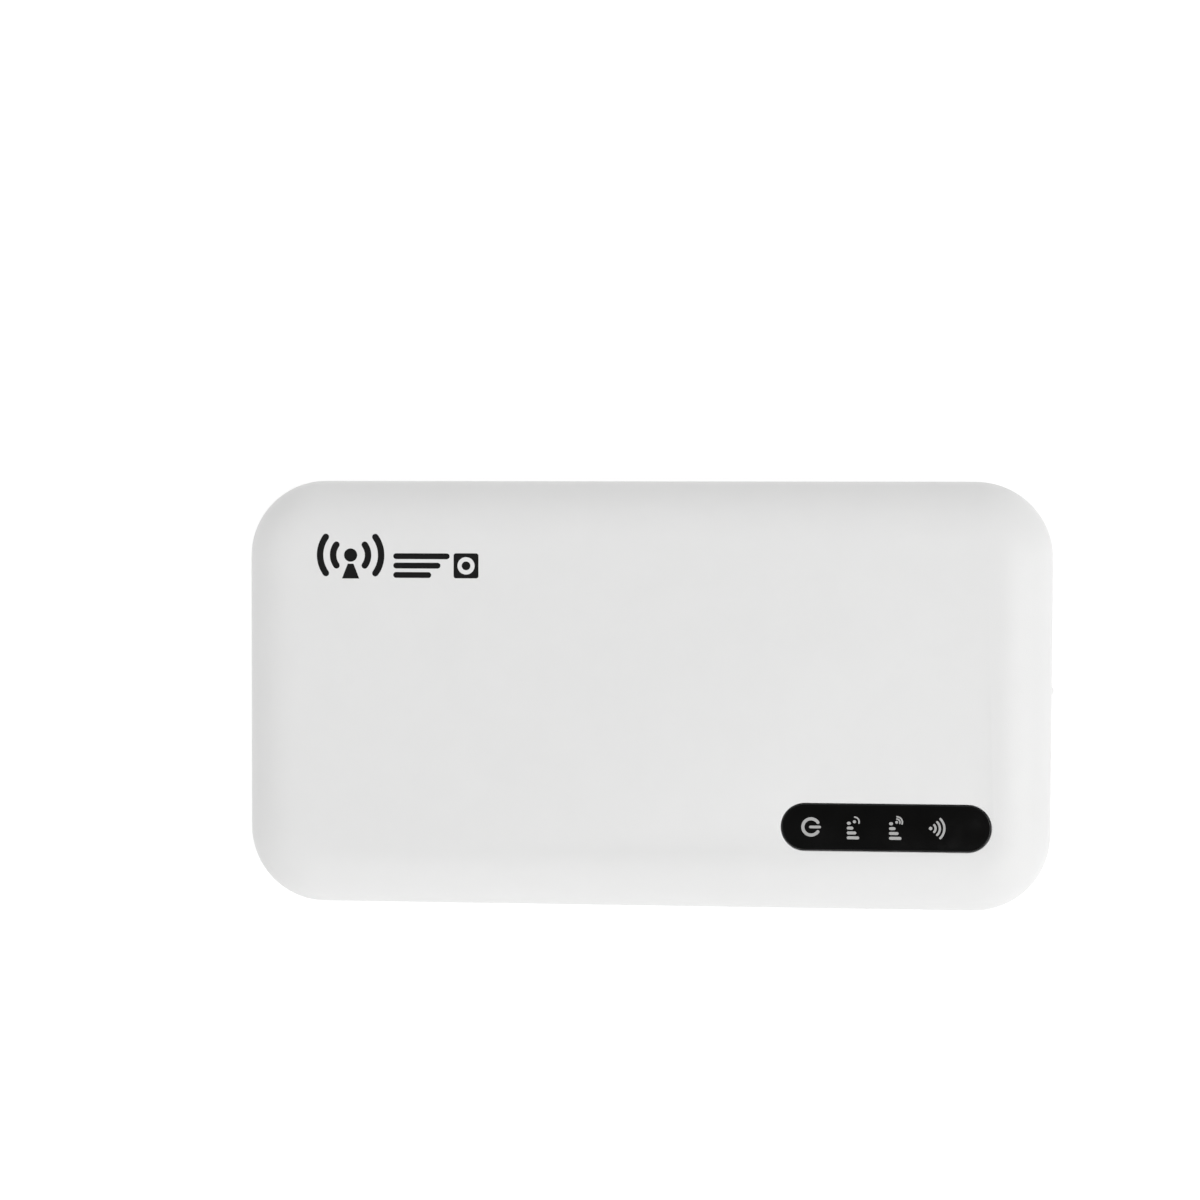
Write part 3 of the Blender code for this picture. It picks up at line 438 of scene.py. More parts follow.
def dress(obj, surface, body, slot, *nodes):
    """Finishes a piece: its surface, its body and the CAD nodes it stands for. The slot argument is not
    used.
    """
    obj.data.materials.clear()
    obj.data.materials.append(surface.material)
    obj.data.shade_smooth()
    obj.data.set_sharp_from_angle(angle=SHARP_ANGLE)
    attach(obj, body)
    if nodes:
        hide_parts(*nodes)
    return obj


def middle(node):
    """The middle of a CAD node's box."""
    low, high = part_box(node)
    return (low + high) / 2


# ---------------------------------------------------------------- covers

top_low, top_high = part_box("top_cover")
base_low, base_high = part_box("bottom_cover")
HALF = Vector((top_high.x, top_high.y))
TOP_Z = top_high.z
TOP_RIM_Z = top_low.z
BASE_RIM_Z = TOP_RIM_Z - PARTING_GAP
BASE_Z = base_low.z
FLOOR_Z = BASE_Z + WALL
CEILING_Z = TOP_Z - WALL

SCREW_NODES = [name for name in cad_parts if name.startswith("case_screw")]
FOOT_NODES = [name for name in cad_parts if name.startswith("foot")]
BOARD_SCREW_NODES = [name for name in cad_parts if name.startswith("board_screw")]
CASE_SCREWS = [middle(name).xy for name in SCREW_NODES]
BOARD_SCREWS = [middle(name).xy for name in BOARD_SCREW_NODES]

lens_low, lens_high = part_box("indicator_lens")
button_low, button_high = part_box("power_button")
usb_low, usb_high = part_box("usb_c_shell")
tray_low, tray_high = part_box("sim_tray")
USB_HALF = ((usb_high.y - usb_low.y) / 2, (usb_high.z - usb_low.z) / 2)
PORT_Z = middle("usb_c_shell").z


def case_stack(bm, shrink, profile):
    """A stack on the case's own outline, shrunk by that much."""
    stack(bm, (0, 0), HALF - Vector((shrink, shrink)), CORNER - shrink, profile, steps=CASE_STEPS)


def new_stack(*args, **options):
    """A stack in a bmesh of its own."""
    bm = bmesh.new()
    stack(bm, *args, **options)
    return bm


def make_top_cover():
    bm = bmesh.new()
    case_stack(
        bm,
        0,
        [
            *out_then_along(TOP_RIM_Z, -RIM, TOP_RIM_Z + RIM, 0, 5),
            *along_then_in(BAND_TOP_Z, 0, TOP_Z, -TOP_EDGE, CASE_STEPS),
        ],
    )
    cover = solid("top_cover_fine", bm)

    cavity = bmesh.new()
    inner_edge = along_then_in(BAND_TOP_Z, 0, CEILING_Z, WALL - TOP_EDGE, CASE_STEPS // 2)
    case_stack(cavity, WALL, [(TOP_RIM_Z - WALL, 0), *inner_edge])

    # Bosses from the ceiling, with the pilot holes that the screws cut their threads in
    into = 0.5 * MM
    case_boss_r, board_boss_r = 2.8 * MM, 2.2 * MM
    case_pilot_r, board_pilot_r = 1.05 * MM, 0.9 * MM
    case_pilot_z, board_pilot_z = 13.2 * MM, 15.2 * MM
    boss_low_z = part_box("main_board")[1].z + 0.15 * MM
    case_bosses = turn([(TOP_RIM_Z + into, case_boss_r), (CEILING_Z + into, case_boss_r)], CASE_SCREWS)
    board_bosses = turn([(boss_low_z, board_boss_r), (CEILING_Z + into, board_boss_r)], BOARD_SCREWS)
    case_pilots = turn([(0, case_pilot_r), (case_pilot_z, case_pilot_r)], CASE_SCREWS, 6)
    board_pilots = turn([(0, board_pilot_r), (board_pilot_z, board_pilot_r)], BOARD_SCREWS, 6)

    # The window's recess and the light holes under it
    lens = middle("indicator_lens")
    lens_half = ((lens_high - lens_low) / 2).xy
    gap, edge = 0.15 * MM, 0.16 * MM
    recess_z = lens_low.z - 0.25 * MM
    recess = new_stack(
        lens.xy,
        lens_half + Vector((gap, gap)),
        lens_half.y + gap,
        mouth(recess_z, TOP_Z, edge),
        steps=WINDOW_STEPS,
    )
    light_holes = bmesh.new()
    hole_half, hole_corner = (1.6 * MM, 2.1 * MM), 0.4 * MM
    hole_profile = [(CEILING_Z - MM, 0), (recess_z + MM / 2, 0)]
    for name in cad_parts:
        if name.startswith("led_"):
            stack(light_holes, (middle(name).x, lens.y), hole_half, hole_corner, hole_profile)

    # The cut-outs in the wall at +X: the piece, its half size, the gap round it and the edge's rounding
    wall_cuts = bmesh.new()
    for node, (half_y, half_z), gap, rounding in (
        ("power_button", BUTTON_HALF, 0.18 * MM, 0.14 * MM),
        ("usb_c_shell", USB_HALF, 0.22 * MM, 0.35 * MM),
        ("sim_tray", ((tray_high.y - tray_low.y) / 2, TRAY_HALF_Z), 0.14 * MM, 0.10 * MM),
        ("reset_switch_plunger", (RESET_HOLE_R, RESET_HOLE_R), 0, 0.18 * MM),
    ):
        half = (half_y + gap, half_z + gap)
        profile = mouth(HALF.x - 3 * WALL, HALF.x, rounding)
        stack(wall_cuts, (middle(node).y, PORT_Z), half, half[1], profile, "X")

    carve(
        cover,
        ("DIFFERENCE", cavity),
        ("UNION", case_bosses),
        ("UNION", board_bosses),
        ("DIFFERENCE", case_pilots),
        ("DIFFERENCE", board_pilots),
        ("DIFFERENCE", recess),
        ("DIFFERENCE", light_holes),
        ("DIFFERENCE", wall_cuts),
    )
    dress(cover, white_plastic, "case", "white_plastic", "top_cover")


def make_bottom_cover():
    bm = bmesh.new()
    case_stack(
        bm,
        0,
        [
            *out_then_along(BASE_Z, -BASE_EDGE, BAND_BASE_Z, 0, CASE_STEPS),
            *along_then_in(BASE_RIM_Z - RIM, 0, BASE_RIM_Z, -RIM, 5),
        ],
    )
    cover = solid("bottom_cover_fine", bm)

    cavity = bmesh.new()
    inner_edge = out_then_along(FLOOR_Z, WALL - BASE_EDGE, BAND_BASE_Z, 0, CASE_STEPS // 2)
    case_stack(cavity, WALL, [*inner_edge, (BASE_RIM_Z + WALL, 0)])

    # The lip is a ring: a solid with rounded ends, less its core
    lip = bmesh.new()
    lip_low, lip_high = 3.1 * MM, base_high.z
    case_stack(lip, WALL + LIP_GAP, bar(lip_low, lip_high, 0.1 * MM, 0.3 * MM, 3))
    lip_core = bmesh.new()
    case_stack(lip_core, WALL + LIP_GAP + LIP_THICK, [(lip_low - MM, 0), (lip_high + MM, 0)])
    lip_ring = solid("lip", lip)
    carve(lip_ring, ("DIFFERENCE", lip_core))
    ring = bmesh.new()
    ring.from_mesh(lip_ring.data)
    bpy.data.objects.remove(lip_ring)

    # Bosses for the case screws: a wide hole for the head, then a narrow one through to the top cover
    boss_r, boss_z = 3.2 * MM, 6.3 * MM
    hole_r, hole_z = 1.15 * MM, 8 * MM
    head_r, head_z = 2.3 * MM, 3.2 * MM
    bosses = turn([(FLOOR_Z - OVERLAP, boss_r), (boss_z, boss_r)], CASE_SCREWS)
    holes = turn([(0, hole_r), (hole_z, hole_r)], CASE_SCREWS, 8)
    heads = turn([(0, head_r), (head_z, head_r)], CASE_SCREWS, 10)

    foot_recesses = bmesh.new()
    foot_r = 4.2 * MM
    foot_mouth = mouth(BASE_Z + 0.9 * MM, BASE_Z, 0.15 * MM)
    for place in CASE_SCREWS:
        stack(foot_recesses, place, (foot_r, foot_r), foot_r, foot_mouth)
    label_low, label_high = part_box("rating_label")
    half = ((label_high - label_low) / 2).xy + Vector((0.2 * MM, 0.2 * MM))
    label_recess = new_stack((0, 0), half, 3 * MM, mouth(BASE_Z + 0.5 * MM, BASE_Z, 0.2 * MM))

    # Ribs that hold the battery cell in place, along its sides and across its ends
    ribs = bmesh.new()
    cell_high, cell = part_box("battery_cell")[1], middle("battery_cell")
    rib_half_thick, rib_corner, rib_top_z, rib_edge = 0.5 * MM, 0.3 * MM, 7 * MM, 0.2 * MM
    side_half, end_half, from_cell = 20 * MM, 13 * MM, 1.1 * MM
    rib_profile = [(FLOOR_Z - OVERLAP, 0), *along_then_in(rib_top_z - rib_edge, 0, rib_top_z, -rib_edge, 3)]
    for side in (-1, 1):
        rib_y = side * (cell_high.y + from_cell)
        stack(ribs, (cell.x, rib_y), (side_half, rib_half_thick), rib_corner, rib_profile, steps=4)
        rib_x = cell.x + side * (cell_high.x - cell.x + from_cell)
        stack(ribs, (rib_x, 0), (rib_half_thick, end_half), rib_corner, rib_profile, steps=4)

    carve(
        cover,
        ("DIFFERENCE", cavity),
        ("UNION", ring),
        ("UNION", bosses),
        ("UNION", ribs),
        ("DIFFERENCE", foot_recesses),
        ("DIFFERENCE", heads),
        ("DIFFERENCE", holes),
        ("DIFFERENCE", label_recess),
    )
    dress(cover, white_plastic, "case", "white_plastic", "bottom_cover")


def make_feet():
    tread_edge, hidden_edge = 0.4 * MM, 0.1 * MM
    for name in FOOT_NODES:
        low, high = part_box(name)
        radius = (high.x - low.x) / 2
        profile = bar(low.z, high.z, tread_edge, hidden_edge)
        foot = solid(f"{name}_fine", new_stack(middle(name).xy, (radius, radius), radius, profile))
        dress(foot, foot_rubber, "case", "foot_rubber", name)


def make_label():
    """A blank film label with a printed line round it."""
    low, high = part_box("rating_label")
    half = ((high - low) / 2).xy
    corner, edge = 2.8 * MM, 0.04 * MM
    profile = bar(low.z, high.z, edge, edge, 2)
    label = solid("rating_label_fine", new_stack((0, 0), half, corner, profile))
    dress(label, label_film, "case", "label_silver", "rating_label")

    inset, line, ink = 1.6 * MM, 0.3 * MM, 0.015 * MM
    outer, inner = (
        outline(*(half - Vector((shrink, shrink))), corner - shrink) for shrink in (inset, inset + line)
    )
    bm = bmesh.new()
    band(bm, outer, inner, low.z - ink, low.z + ink)
    dress(solid("label_line", bm), label_ink, "case", "label_silver")


# ---------------------------------------------------------------- window and prints

class Print:
    """A thin printed mark: flat shapes drawn in millimetres about a point, none of which overlap."""

    def __init__(self, origin, low, high):
        self.bm = bmesh.new()
        self.origin, self.low, self.high = Vector(origin), low, high

    def shape(self, points):
        points = [self.origin + Vector(point) * MM for point in points]
        loft(self.bm, [stand(points, self.low), stand(points, self.high)])

    def disc(self, centre, radius, steps=24):
        self.shape(ring_points(centre, radius, 0, 2 * math.pi * (1 - 1 / steps), steps - 1))

    def stroke(self, start, end, width, steps=8):
        """A straight line with round ends."""
        start, end = Vector(start), Vector(end)
        angle = math.atan2(end.y - start.y, end.x - start.x)
        quarter = math.pi / 2
        self.shape(
            [
                *ring_points(end, width / 2, angle - quarter, angle + quarter, steps),
                *ring_points(start, width / 2, angle + quarter, angle + 3 * quarter, steps),
            ]
        )

    def arc(self, centre, radius, middle_angle, spread, width, steps=28, cap_steps=6):
        """Part of a ring, with round ends, to either side of an angle. Angles are in degrees."""
        centre = Vector(centre)
        start, end = (math.radians(middle_angle + side * spread) for side in (-1, 1))
        tips = [centre + radius * Vector((math.cos(a), math.sin(a))) for a in (start, end)]
        self.shape(
            [
                *ring_points(centre, radius + width / 2, start, end, steps),
                *ring_points(tips[1], width / 2, end, end + math.pi, cap_steps)[1:-1],
                *ring_points(centre, radius - width / 2, end, start, steps),
                *ring_points(tips[0], width / 2, start + math.pi, start + 2 * math.pi, cap_steps)[1:-1],
            ]
        )

    def pierced_square(self, centre, half, corner, hole_r, steps=8):
        """A square with round corners and a round hole. Each outline point has its hole point beside it."""
        centre = Vector(centre)
        square = []
        for point in outline(half, half, corner, steps):
            if square and (point - square[-1]).length > corner:
                square += [square[-1].lerp(point, k / steps) for k in range(1, steps)]
            square.append(point)
        square += [square[-1].lerp(square[0], k / steps) for k in range(1, steps)]
        hole = [centre + hole_r * point.normalized() for point in square]
        square = [centre + point for point in square]
        outer, inner = ([self.origin + point * MM for point in points] for points in (square, hole))
        band(self.bm, outer, inner, self.low, self.high)


def ring_points(centre, radius, start, end, steps):
    centre = Vector(centre)
    angles = (start + (end - start) * k / steps for k in range(steps + 1))
    return [centre + radius * Vector((math.cos(angle), math.sin(angle))) for angle in angles]


def make_window():
    half = ((lens_high - lens_low) / 2).xy
    place = middle("indicator_lens").xy
    hidden_edge, edge = 0.1 * MM, 0.14 * MM
    profile = bar(lens_low.z, lens_high.z, hidden_edge, edge, 6)
    bm = new_stack(place, half, half.y, profile, steps=WINDOW_STEPS)
    dress(solid("indicator_lens_fine", bm), black_window, "case", "black_window", "indicator_lens")

    # The icons are turned a quarter: they are read with +X up. Their sizes are in millimetres
    sunk, proud = 0.02 * MM, 0.018 * MM
    ink = (lens_high.z - sunk, lens_high.z + proud)
    power = Print((middle("led_power").x, place.y), *ink)
    power.arc((0, 0), 1.40, 180, 146, 0.54)
    power.stroke((-0.12, 0), (1.46, 0), 0.46)
    dress(solid("icon_power", power.bm), icon_print, "case", "black_window")

    # Four bars that grow, and a dot with waves at the top of the shortest one
    foot = 1.07 * MM  # from the LED to the icon's lower end
    first_bar, bar_pitch, bar_start, bar_width = 0.72, 0.83, 0.25, 0.52
    bar_ends = (0.42, 0.85, 1.35, 1.85)
    source, wave_way, wave_spread, wave_width = (1.28, 0.98), 35, 52, 0.26
    for name, led, source_r, waves in (
        ("icon_signal_a", "led_signal_a", 0.27, (0.80,)),
        ("icon_signal_b", "led_signal_b", 0.24, (0.56, 0.96)),
    ):
        signal = Print((middle(led).x - foot, place.y), *ink)
        for k, end in enumerate(bar_ends):
            across = first_bar - bar_pitch * k
            signal.stroke((bar_start, across), (end, across), bar_width)
        signal.disc(source, source_r, 16)
        for radius in waves:
            signal.arc(source, radius, wave_way, wave_spread, wave_width, 12, 4)
        dress(solid(name, signal.bm), icon_print, "case", "black_window")

    foot, source_r, wave_spread, wave_width = 1.2 * MM, 0.30, 45, 0.38
    wireless = Print((middle("led_wireless").x - foot, place.y), *ink)
    wireless.disc((0, 0), source_r)
    for radius in (0.84, 1.56, 2.32):
        wireless.arc((0, 0), radius, 0, wave_spread, wave_width)
    dress(solid("icon_wireless", wireless.bm), icon_print, "case", "black_window")


def make_top_print():
    """A generic mark: a mast that sends out waves, three plain bars, and a square with a ring in it.
    Its sizes are in millimetres from its lower left corner."""
    corner, sunk, proud = (-56.4 * MM, 19.8 * MM), 0.02 * MM, 0.015 * MM
    mark = Print(corner, TOP_Z - sunk, TOP_Z + proud)
    head, head_r, wave_spread, wave_width = (5.36, 4.35), 1.15, 36, 1.12
    mark.disc(head, head_r, 32)
    mark.shape([(3.86, 0.3), (6.86, 0.3), (5.86, 2.85), (4.86, 2.85)])
    for side in (0, 180):
        for radius in (3.05, 5.33):
            mark.arc(head, radius, side, wave_spread, wave_width)
    first_bar, bar_pitch, bar_start, bar_width = 0.95, 1.62, 13.3, 1.0
    for row, end in enumerate((18.9, 20.5, 22.1)):
        height = first_bar + bar_pitch * row
        mark.stroke((bar_start, height), (end, height), bar_width)
    square, half_side, corner_r, hole_r, dot_r = (25.44, 2.57), 2.15, 0.4, 1.5, 0.75
    mark.disc(square, dot_r)
    mark.pierced_square(square, half_side, corner_r, hole_r)
    dress(solid("top_print", mark.bm), dark_print, "case", "white_plastic")


# ---------------------------------------------------------------- button, tray and port

def make_power_button():
    """The cap, the flange that holds it in, the nub that pushes the switch, and the nib on its face."""
    place = (middle("power_button").y, PORT_Z)
    round_by, crown, crown_reach = 0.4 * MM, 0.06 * MM, 1.35 * MM
    nib_r, nib_proud, nib_round, nib_flare = 0.7 * MM, 0.4 * MM, 0.55 * MM, 0.05 * MM
    face_x = button_high.x - nib_proud
    edge_x = face_x - crown
    cap_low_x = button_low.x + 0.8 * MM
    profile = [
        (cap_low_x, 0),
        *along_then_in(edge_x - round_by, 0, edge_x, -round_by, 8),
        *crowned(edge_x, crown, -round_by, crown_reach),
    ]
    cap = solid("power_button_fine", new_stack(place, BUTTON_HALF, BUTTON_HALF[1], profile, "X"))

    ease = 0.1 * MM
    flange_low_x, flange_high_x = button_low.x + 0.6 * MM, HALF.x - WALL - 0.2 * MM
    flange_half, flange_corner = (6.2 * MM, 1.55 * MM), 0.6 * MM
    flange_profile = bar(flange_low_x, flange_high_x, ease, ease, 2)
    flange = new_stack(place, flange_half, flange_corner, flange_profile, "X", steps=5)
    nub_half, nub_corner = (1.5 * MM, 1.0 * MM), 0.2 * MM
    nub_profile = bar(button_low.x, flange_low_x + OVERLAP, ease, 0, 2)
    nub = new_stack(place, nub_half, nub_corner, nub_profile, "X")
    nib_profile = [
        (face_x - nib_proud, nib_flare),
        *along_then_in(face_x - nib_flare, 0, button_high.x, -nib_round, 8),
    ]
    nib = new_stack(place, (nib_r, nib_r), nib_r, nib_profile, "X", steps=10)
    carve(cap, ("UNION", flange), ("UNION", nub), ("UNION", nib))
    dress(cap, white_plastic, "power_button", "white_plastic", "power_button")


def make_sim_tray():
    """The fascia and the blade with its card pocket, nail slot and side notches, and the card in it."""
    place_y = middle("sim_tray").y
    front_x, back_x = tray_high.x, tray_low.x
    fascia_x = front_x - 1.2 * MM
    fascia_half = ((tray_high.y - tray_low.y) / 2, TRAY_HALF_Z)
    profile = bar(fascia_x, front_x, 0.05 * MM, 0.16 * MM)
    tray = solid("sim_tray_fine", new_stack((place_y, PORT_Z), fascia_half, TRAY_HALF_Z, profile, "X"))

    half_thick, half_width, blade_corner, ease = 0.55 * MM, 5.5 * MM, 0.8 * MM, 0.08 * MM
    blade = new_stack(
        ((back_x + fascia_x) / 2, place_y),
        ((fascia_x - back_x) / 2 + OVERLAP, half_width),
        blade_corner,
        bar(PORT_Z - half_thick, PORT_Z + half_thick, ease, ease, 2),
    )
    through = (PORT_Z - MM, PORT_Z + MM)
    card_low, card_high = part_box("sim_card")
    card = middle("sim_card")
    card_half = ((card_high - card_low) / 2).xy
    gap = Vector((0.15 * MM, 0.15 * MM))
    pocket_floor, pocket_corner = 0.3 * MM, 0.9 * MM
    pocket_profile = mouth(PORT_Z - half_thick + pocket_floor, PORT_Z + half_thick, 0.06 * MM, 3)
    pocket = new_stack(card.xy, card_half + gap, pocket_corner, pocket_profile)
    shelf, window_corner = Vector((1.2 * MM, 1.2 * MM)), 0.8 * MM
    window = new_stack(card.xy, card_half - shelf, window_corner, [(z, 0) for z in through])
    nail_half, nail_drop, nail_deep = (3.5 * MM, 0.3 * MM), 0.45 * MM, 0.5 * MM
    nail_profile = mouth(front_x - nail_deep, front_x, 0.08 * MM, 3)
    nail = new_stack((place_y, PORT_Z - nail_drop), nail_half, nail_half[1], nail_profile, "X", steps=6)
    notch_r, notch_x, notch_out = 0.7 * MM, fascia_x - 2.6 * MM, half_width + 0.25 * MM
    notch_places = [Vector((notch_x, place_y + side * notch_out)) for side in (-1, 1)]
    notches = turn([(z, notch_r) for z in through], notch_places, 8)
    carve(
        tray,
        ("UNION", blade),
        ("DIFFERENCE", pocket),
        ("DIFFERENCE", window),
        ("DIFFERENCE", nail),
        ("DIFFERENCE", notches),
    )
    dress(tray, white_plastic, "sim_tray", "white_plastic", "sim_tray")

    # The card, one corner cut, with its contact plate in two rows of three
    cut, corner = 1.6 * MM, 0.7 * MM
    points = outline(*card_half, corner, 6)
    points = [p for p in points if p.x + p.y < card_half.x + card_half.y - cut]
    points += [Vector((card_half.x - cut, card_half.y)), Vector((card_half.x, card_half.y - cut))]
    points.sort(key=lambda p: math.atan2(p.y, p.x))
    bm = bmesh.new()
    top_ease = 0.05 * MM
    rings = [(card_low.z, 1), (card_high.z - top_ease, 1), (card_high.z, 1 - top_ease / card_half.y)]
    loft(bm, [stand([card.xy + p * size for p in points], z) for z, size in rings])
    dress(solid("sim_card_fine", bm), cream_plastic, "sim_tray", "cream_plastic", "sim_card")
    bm = bmesh.new()
    pad_half, pad_corner, pitch = Vector((1.55 * MM, 1.75 * MM)), 0.3 * MM, Vector((3.4 * MM, 3.85 * MM))
    pad_profile = [(card_high.z - 0.01 * MM, 0), (card_high.z + 0.02 * MM, 0)]
    for column in (-1, 0, 1):
        for row in (-0.5, 0.5):
            place = card.xy + Vector((column * pitch.x, row * pitch.y))
            stack(bm, place, pad_half, pad_corner, pad_profile, steps=4)
    dress(solid("sim_contacts", bm), contact_gold, "sim_tray", "contact_gold")


def make_usb_port():
    """The shell with its rolled lip, and the tongue in it with a row of contacts on each face."""
    place = (middle("usb_c_shell").y, PORT_Z)
    wall, lip = 0.3 * MM, 0.13 * MM
    front, back = usb_high.x, usb_low.x
    profile = [
        *out_then_along(back, -wall, back + wall, 0, 4),
        *along_then_in(front - lip, 0, front, -lip, 5),
        *out_then_along(front, -wall + lip, front - lip, -wall, 5),
        (back + wall, -wall),
    ]
    shell = solid("usb_c_shell_fine", new_stack(place, USB_HALF, USB_HALF[1], profile, "X"))
    dress(shell, steel, "case", "steel", "usb_c_shell")

    low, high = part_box("usb_c_tongue")
    half_thick, half_width, corner, tip_round = 0.35 * MM, 3.3 * MM, 0.2 * MM, 0.18 * MM
    rooted = MM / 2
    blade_profile = bar(low.x + rooted, high.x, 0, tip_round, 4)
    blade = new_stack(place, (half_width, half_thick), corner, blade_profile, "X", steps=4)
    base_half, step_x, step_round = ((high.y - low.y) / 2, (high.z - low.z) / 2), 1.5 * MM, 0.2 * MM
    base_profile = bar(low.x, low.x + step_x, 0, step_round)
    tongue = solid("usb_c_tongue_fine", new_stack(place, base_half, MM, base_profile, "X"))
    carve(tongue, ("UNION", blade))
    dress(tongue, dark_plastic, "case", "dark_plastic", "usb_c_tongue")

    bm = bmesh.new()
    contacts, pitch, pad_half, pad_corner = 12, 0.5 * MM, (1.65 * MM, 0.13 * MM), 0.06 * MM
    bare_tip = 0.5 * MM
    pad_x = high.x - bare_tip - pad_half[0]
    for side in (-1, 1):
        levels = sorted(PORT_Z + side * (half_thick + lift * MM) for lift in (-0.02, 0.015))
        for k in range(contacts):
            pad = (pad_x, place[0] + (k - (contacts - 1) / 2) * pitch)
            stack(bm, pad, pad_half, pad_corner, [(level, 0) for level in levels], steps=2)
    dress(solid("usb_c_contacts", bm), contact_gold, "case", "contact_gold")


# ---------------------------------------------------------------- pads

def make_pads():
    """The foam and silicone pads, a little crowned and with soft edges, in the space of the CAD ones."""
    corner, least_radius = 1.2 * MM, 0.2 * MM
    for name, surface, slot, edge, crown in (
        ("battery_foam", foam, "foam", 0.20 * MM, 0.10 * MM),
        ("battery_tape", foam, "foam", 0.12 * MM, 0.05 * MM),
        ("thermal_pad", silicone_grey, "silicone_grey", 0.25 * MM, 0.08 * MM),
    ):
        low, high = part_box(name)
        half = ((high - low) / 2).xy
        face_z, crown_reach = high.z - crown, 0.9 * min(half)
        profile = [*bar(low.z, face_z, edge, edge, 4), *crowned(face_z, crown, -edge, crown_reach, 10)]
        bm = new_stack(middle(name).xy, half, corner, profile, steps=6, least_radius=least_radius)
        pad = dress(solid(f"{name}_soft", bm), surface, "case", slot, name)


# ---------------------------------------------------------------- CAD nodes that keep their shape

def surface_inside_nodes():
    """Each node that still shows gets the surface whose key its name starts with, the first that fits."""
    surfaces = {
        "case_screw": screw_steel,
        "board_screw": screw_steel,
        "light_guide": clear_plastic,
        "light_baffle": dark_plastic,
        "led_": led_package,
        "main_board": board_green,
        "battery_protection_board": board_green,
        "modem_shield": tin_plate,
        "wifi_shield": tin_plate,
        "power_shield": tin_plate,
        "modem_chip": dark_plastic,
        "power_inductor": ferrite,
        "heat_spreader": aluminium,
        "power_switch_plunger": cream_plastic,
        "power_switch": dark_plastic,
        "reset_switch_plunger": cream_plastic,
        "reset_switch": dark_plastic,
        "sim_socket_cage": steel,
        "sim_socket_base": dark_plastic,
        "battery_cell": cell_foil,
        "battery_lead_red": wire_red,
        "battery_lead_black": cable_black,
        "battery_plug": cream_plastic,
        "battery_socket": cream_plastic,
        "antenna_clip": contact_gold,
        "antenna": flex_amber,
        "coax_plug": contact_gold,
        "coax_cable": cable_black,
    }
    for name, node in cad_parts.items():
        if not node.hide_render:
            start = next(start for start in surfaces if name.startswith(start))
            node.material_slots[0].material = surfaces[start].material


make_top_cover()
make_bottom_cover()
make_feet()
make_label()
make_window()
make_top_print()
make_power_button()
make_sim_tray()
make_usb_port()
make_pads()
surface_inside_nodes()


# ---------------------------------------------------------------- floor, light and camera

HORIZON = 0.82  # the room's brightness at the horizon
LEAN = Vector((0, -0.24, 0))  # how much lighter or darker the room gets along each axis


def make_floor():
    """A pale floor. Far out it takes on the brightness of the room's horizon, so no edge shows."""
    reach, steps = 6.0, 24
    near, far = 0.6, 3.0
    near_glow, far_glow = 0.745, HORIZON - 0.32
    # The painted contact shadow under the case: the glow left there, how far in it is darkest, and how soft
    # its edge is
    painted_shadow_glow, painted_shadow_deep, painted_shadow_edge = 0.05, 7 * MM, 0.5 * MM
    bm = bmesh.new()
    bmesh.ops.create_grid(bm, x_segments=steps, y_segments=steps, size=reach)
    floor = solid("floor", bm)
    surface = Surface("floor_white", (0.36, 0.36, 0.36), 0.9, **{"Specular IOR Level": 0.1})
    surface.mottle(surface.noise(0.4, 2), 0.01)
    surface.shader.inputs["Emission Color"].default_value = (1, 1, 1, 1)
    away = surface.vector("LENGTH", surface.coords)
    lean = surface.vector("DOT_PRODUCT", surface.vector("NORMALIZE", surface.coords), LEAN * HORIZON)
    glow = surface.node(
        "ShaderNodeMapRange",
        {
            "Value": away,
            "From Min": near,
            "From Max": far,
            "To Min": near_glow,
            "To Max": surface.join("ADD", lean, far_glow),
        },
    )

    # Under the case the floor's glow drops almost to nothing: a painted contact shadow, on top of the real
    # shade there.
    # The way out is measured from the rectangle that the round corners' centres make
    core = (HALF.x - CORNER, HALF.y - CORNER, 0)
    past = surface.vector("SUBTRACT", surface.vector("ABSOLUTE", surface.coords), core)
    out = surface.vector("LENGTH", surface.vector("MAXIMUM", past))
    painted_shadow_factor = surface.ramp(out, CORNER - painted_shadow_deep, CORNER - painted_shadow_edge, painted_shadow_glow, 1.0)
    strength = surface.join("MULTIPLY", glow.outputs["Result"], painted_shadow_factor)
    surface.tree.links.new(strength, surface.shader.inputs["Emission Strength"])
    floor.data.materials.append(surface.material)


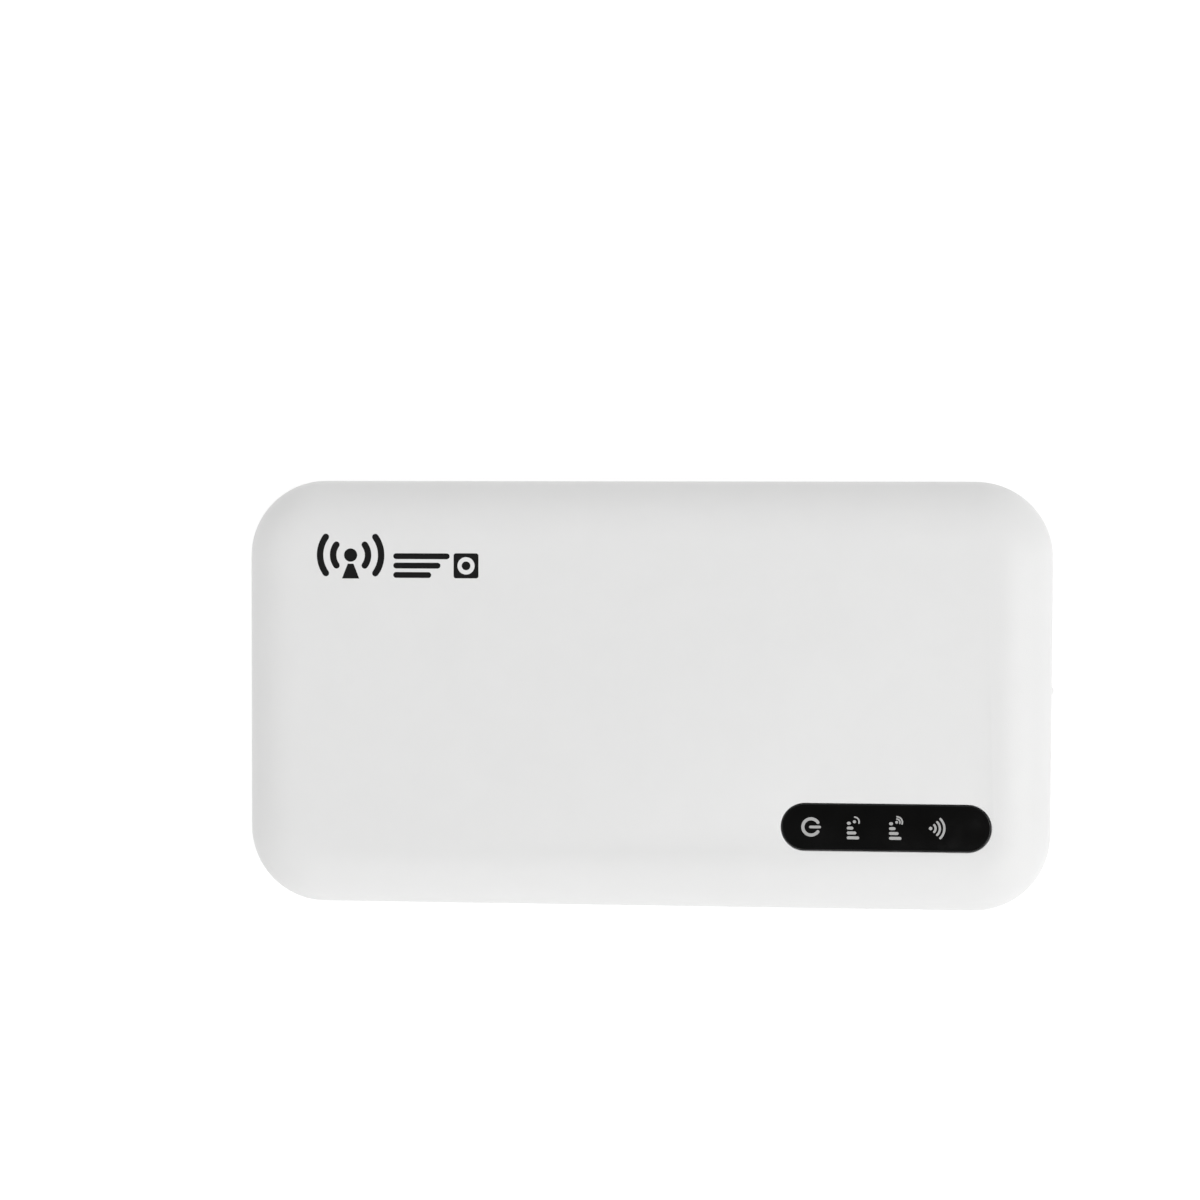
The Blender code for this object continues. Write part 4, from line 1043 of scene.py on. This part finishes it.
def make_world():
    """A pale room: even near the horizon, brightest high up all round, and dark overhead, where the
    photographer's camera hangs."""
    world = bpy.data.worlds.new("studio")
    bpy.context.scene.world = world
    world.use_nodes = True
    tree = world.node_tree
    coords = tree.nodes.new("ShaderNodeTexCoord")
    split = tree.nodes.new("ShaderNodeSeparateXYZ")
    ramp = tree.nodes.new("ShaderNodeValToRGB")
    tree.links.new(coords.outputs["Generated"], split.inputs["Vector"])
    tree.links.new(split.outputs["Z"], ramp.inputs["Fac"])
    tree.links.new(ramp.outputs["Color"], tree.nodes["Background"].inputs["Color"])
    # How bright the room is at each height, from the horizon (0) to overhead (1)
    stops = ((0.0, HORIZON), (0.38, 0.72), (0.58, 0.10), (0.80, 2.13), (0.94, 0.04))
    while len(ramp.color_ramp.elements) < len(stops):
        ramp.color_ramp.elements.new(0.5)
    for element, (place, level) in zip(ramp.color_ramp.elements, stops):
        element.position = place
        element.color = (level, level, level, 1)
    lean = tree.nodes.new("ShaderNodeVectorMath")
    lean.operation = "DOT_PRODUCT"
    lean.inputs[1].default_value = LEAN
    tree.links.new(coords.outputs["Generated"], lean.inputs[0])
    strength = tree.nodes.new("ShaderNodeMath")
    strength.inputs[1].default_value = 1.0
    tree.links.new(lean.outputs["Value"], strength.inputs[0])
    tree.links.new(strength.outputs["Value"], tree.nodes["Background"].inputs["Strength"])


def make_light(name, azimuth, elevation, distance, size, power):
    """A soft square light that points at the middle of the hotspot. Azimuth is from +X, in degrees."""
    light = bpy.data.lights.new(name, "AREA")
    light.size = size
    light.energy = power
    obj = bpy.data.objects.new(name, light)
    bpy.context.scene.collection.objects.link(obj)
    azimuth, elevation = math.radians(azimuth), math.radians(elevation)
    level = math.cos(elevation)
    way = Vector((level * math.cos(azimuth), level * math.sin(azimuth), math.sin(elevation)))
    obj.location = way * distance
    obj.rotation_euler = way.to_track_quat("Z", "Y").to_euler()


def make_camera():
    """Almost straight down, as in the photograph: the angles were fitted to the outline there."""
    data = bpy.data.cameras.new("camera")
    data.lens = 54
    data.sensor_width = 36
    data.clip_start = 0.01
    camera = bpy.data.objects.new("camera", data)
    bpy.context.scene.collection.objects.link(camera)
    camera.location = (10.8 * MM, 25.7 * MM, 326.0 * MM)
    camera.rotation_mode = "ZYX"
    camera.rotation_euler = [math.radians(angle) for angle in (-1.69, 3.46, 0.31)]
    bpy.context.scene.camera = camera


make_floor()
make_world()
make_light("key_light", azimuth=-18, elevation=47.5, distance=1.5, size=0.9, power=7.0)
make_camera()
bpy.context.scene.view_settings.view_transform = "Standard"
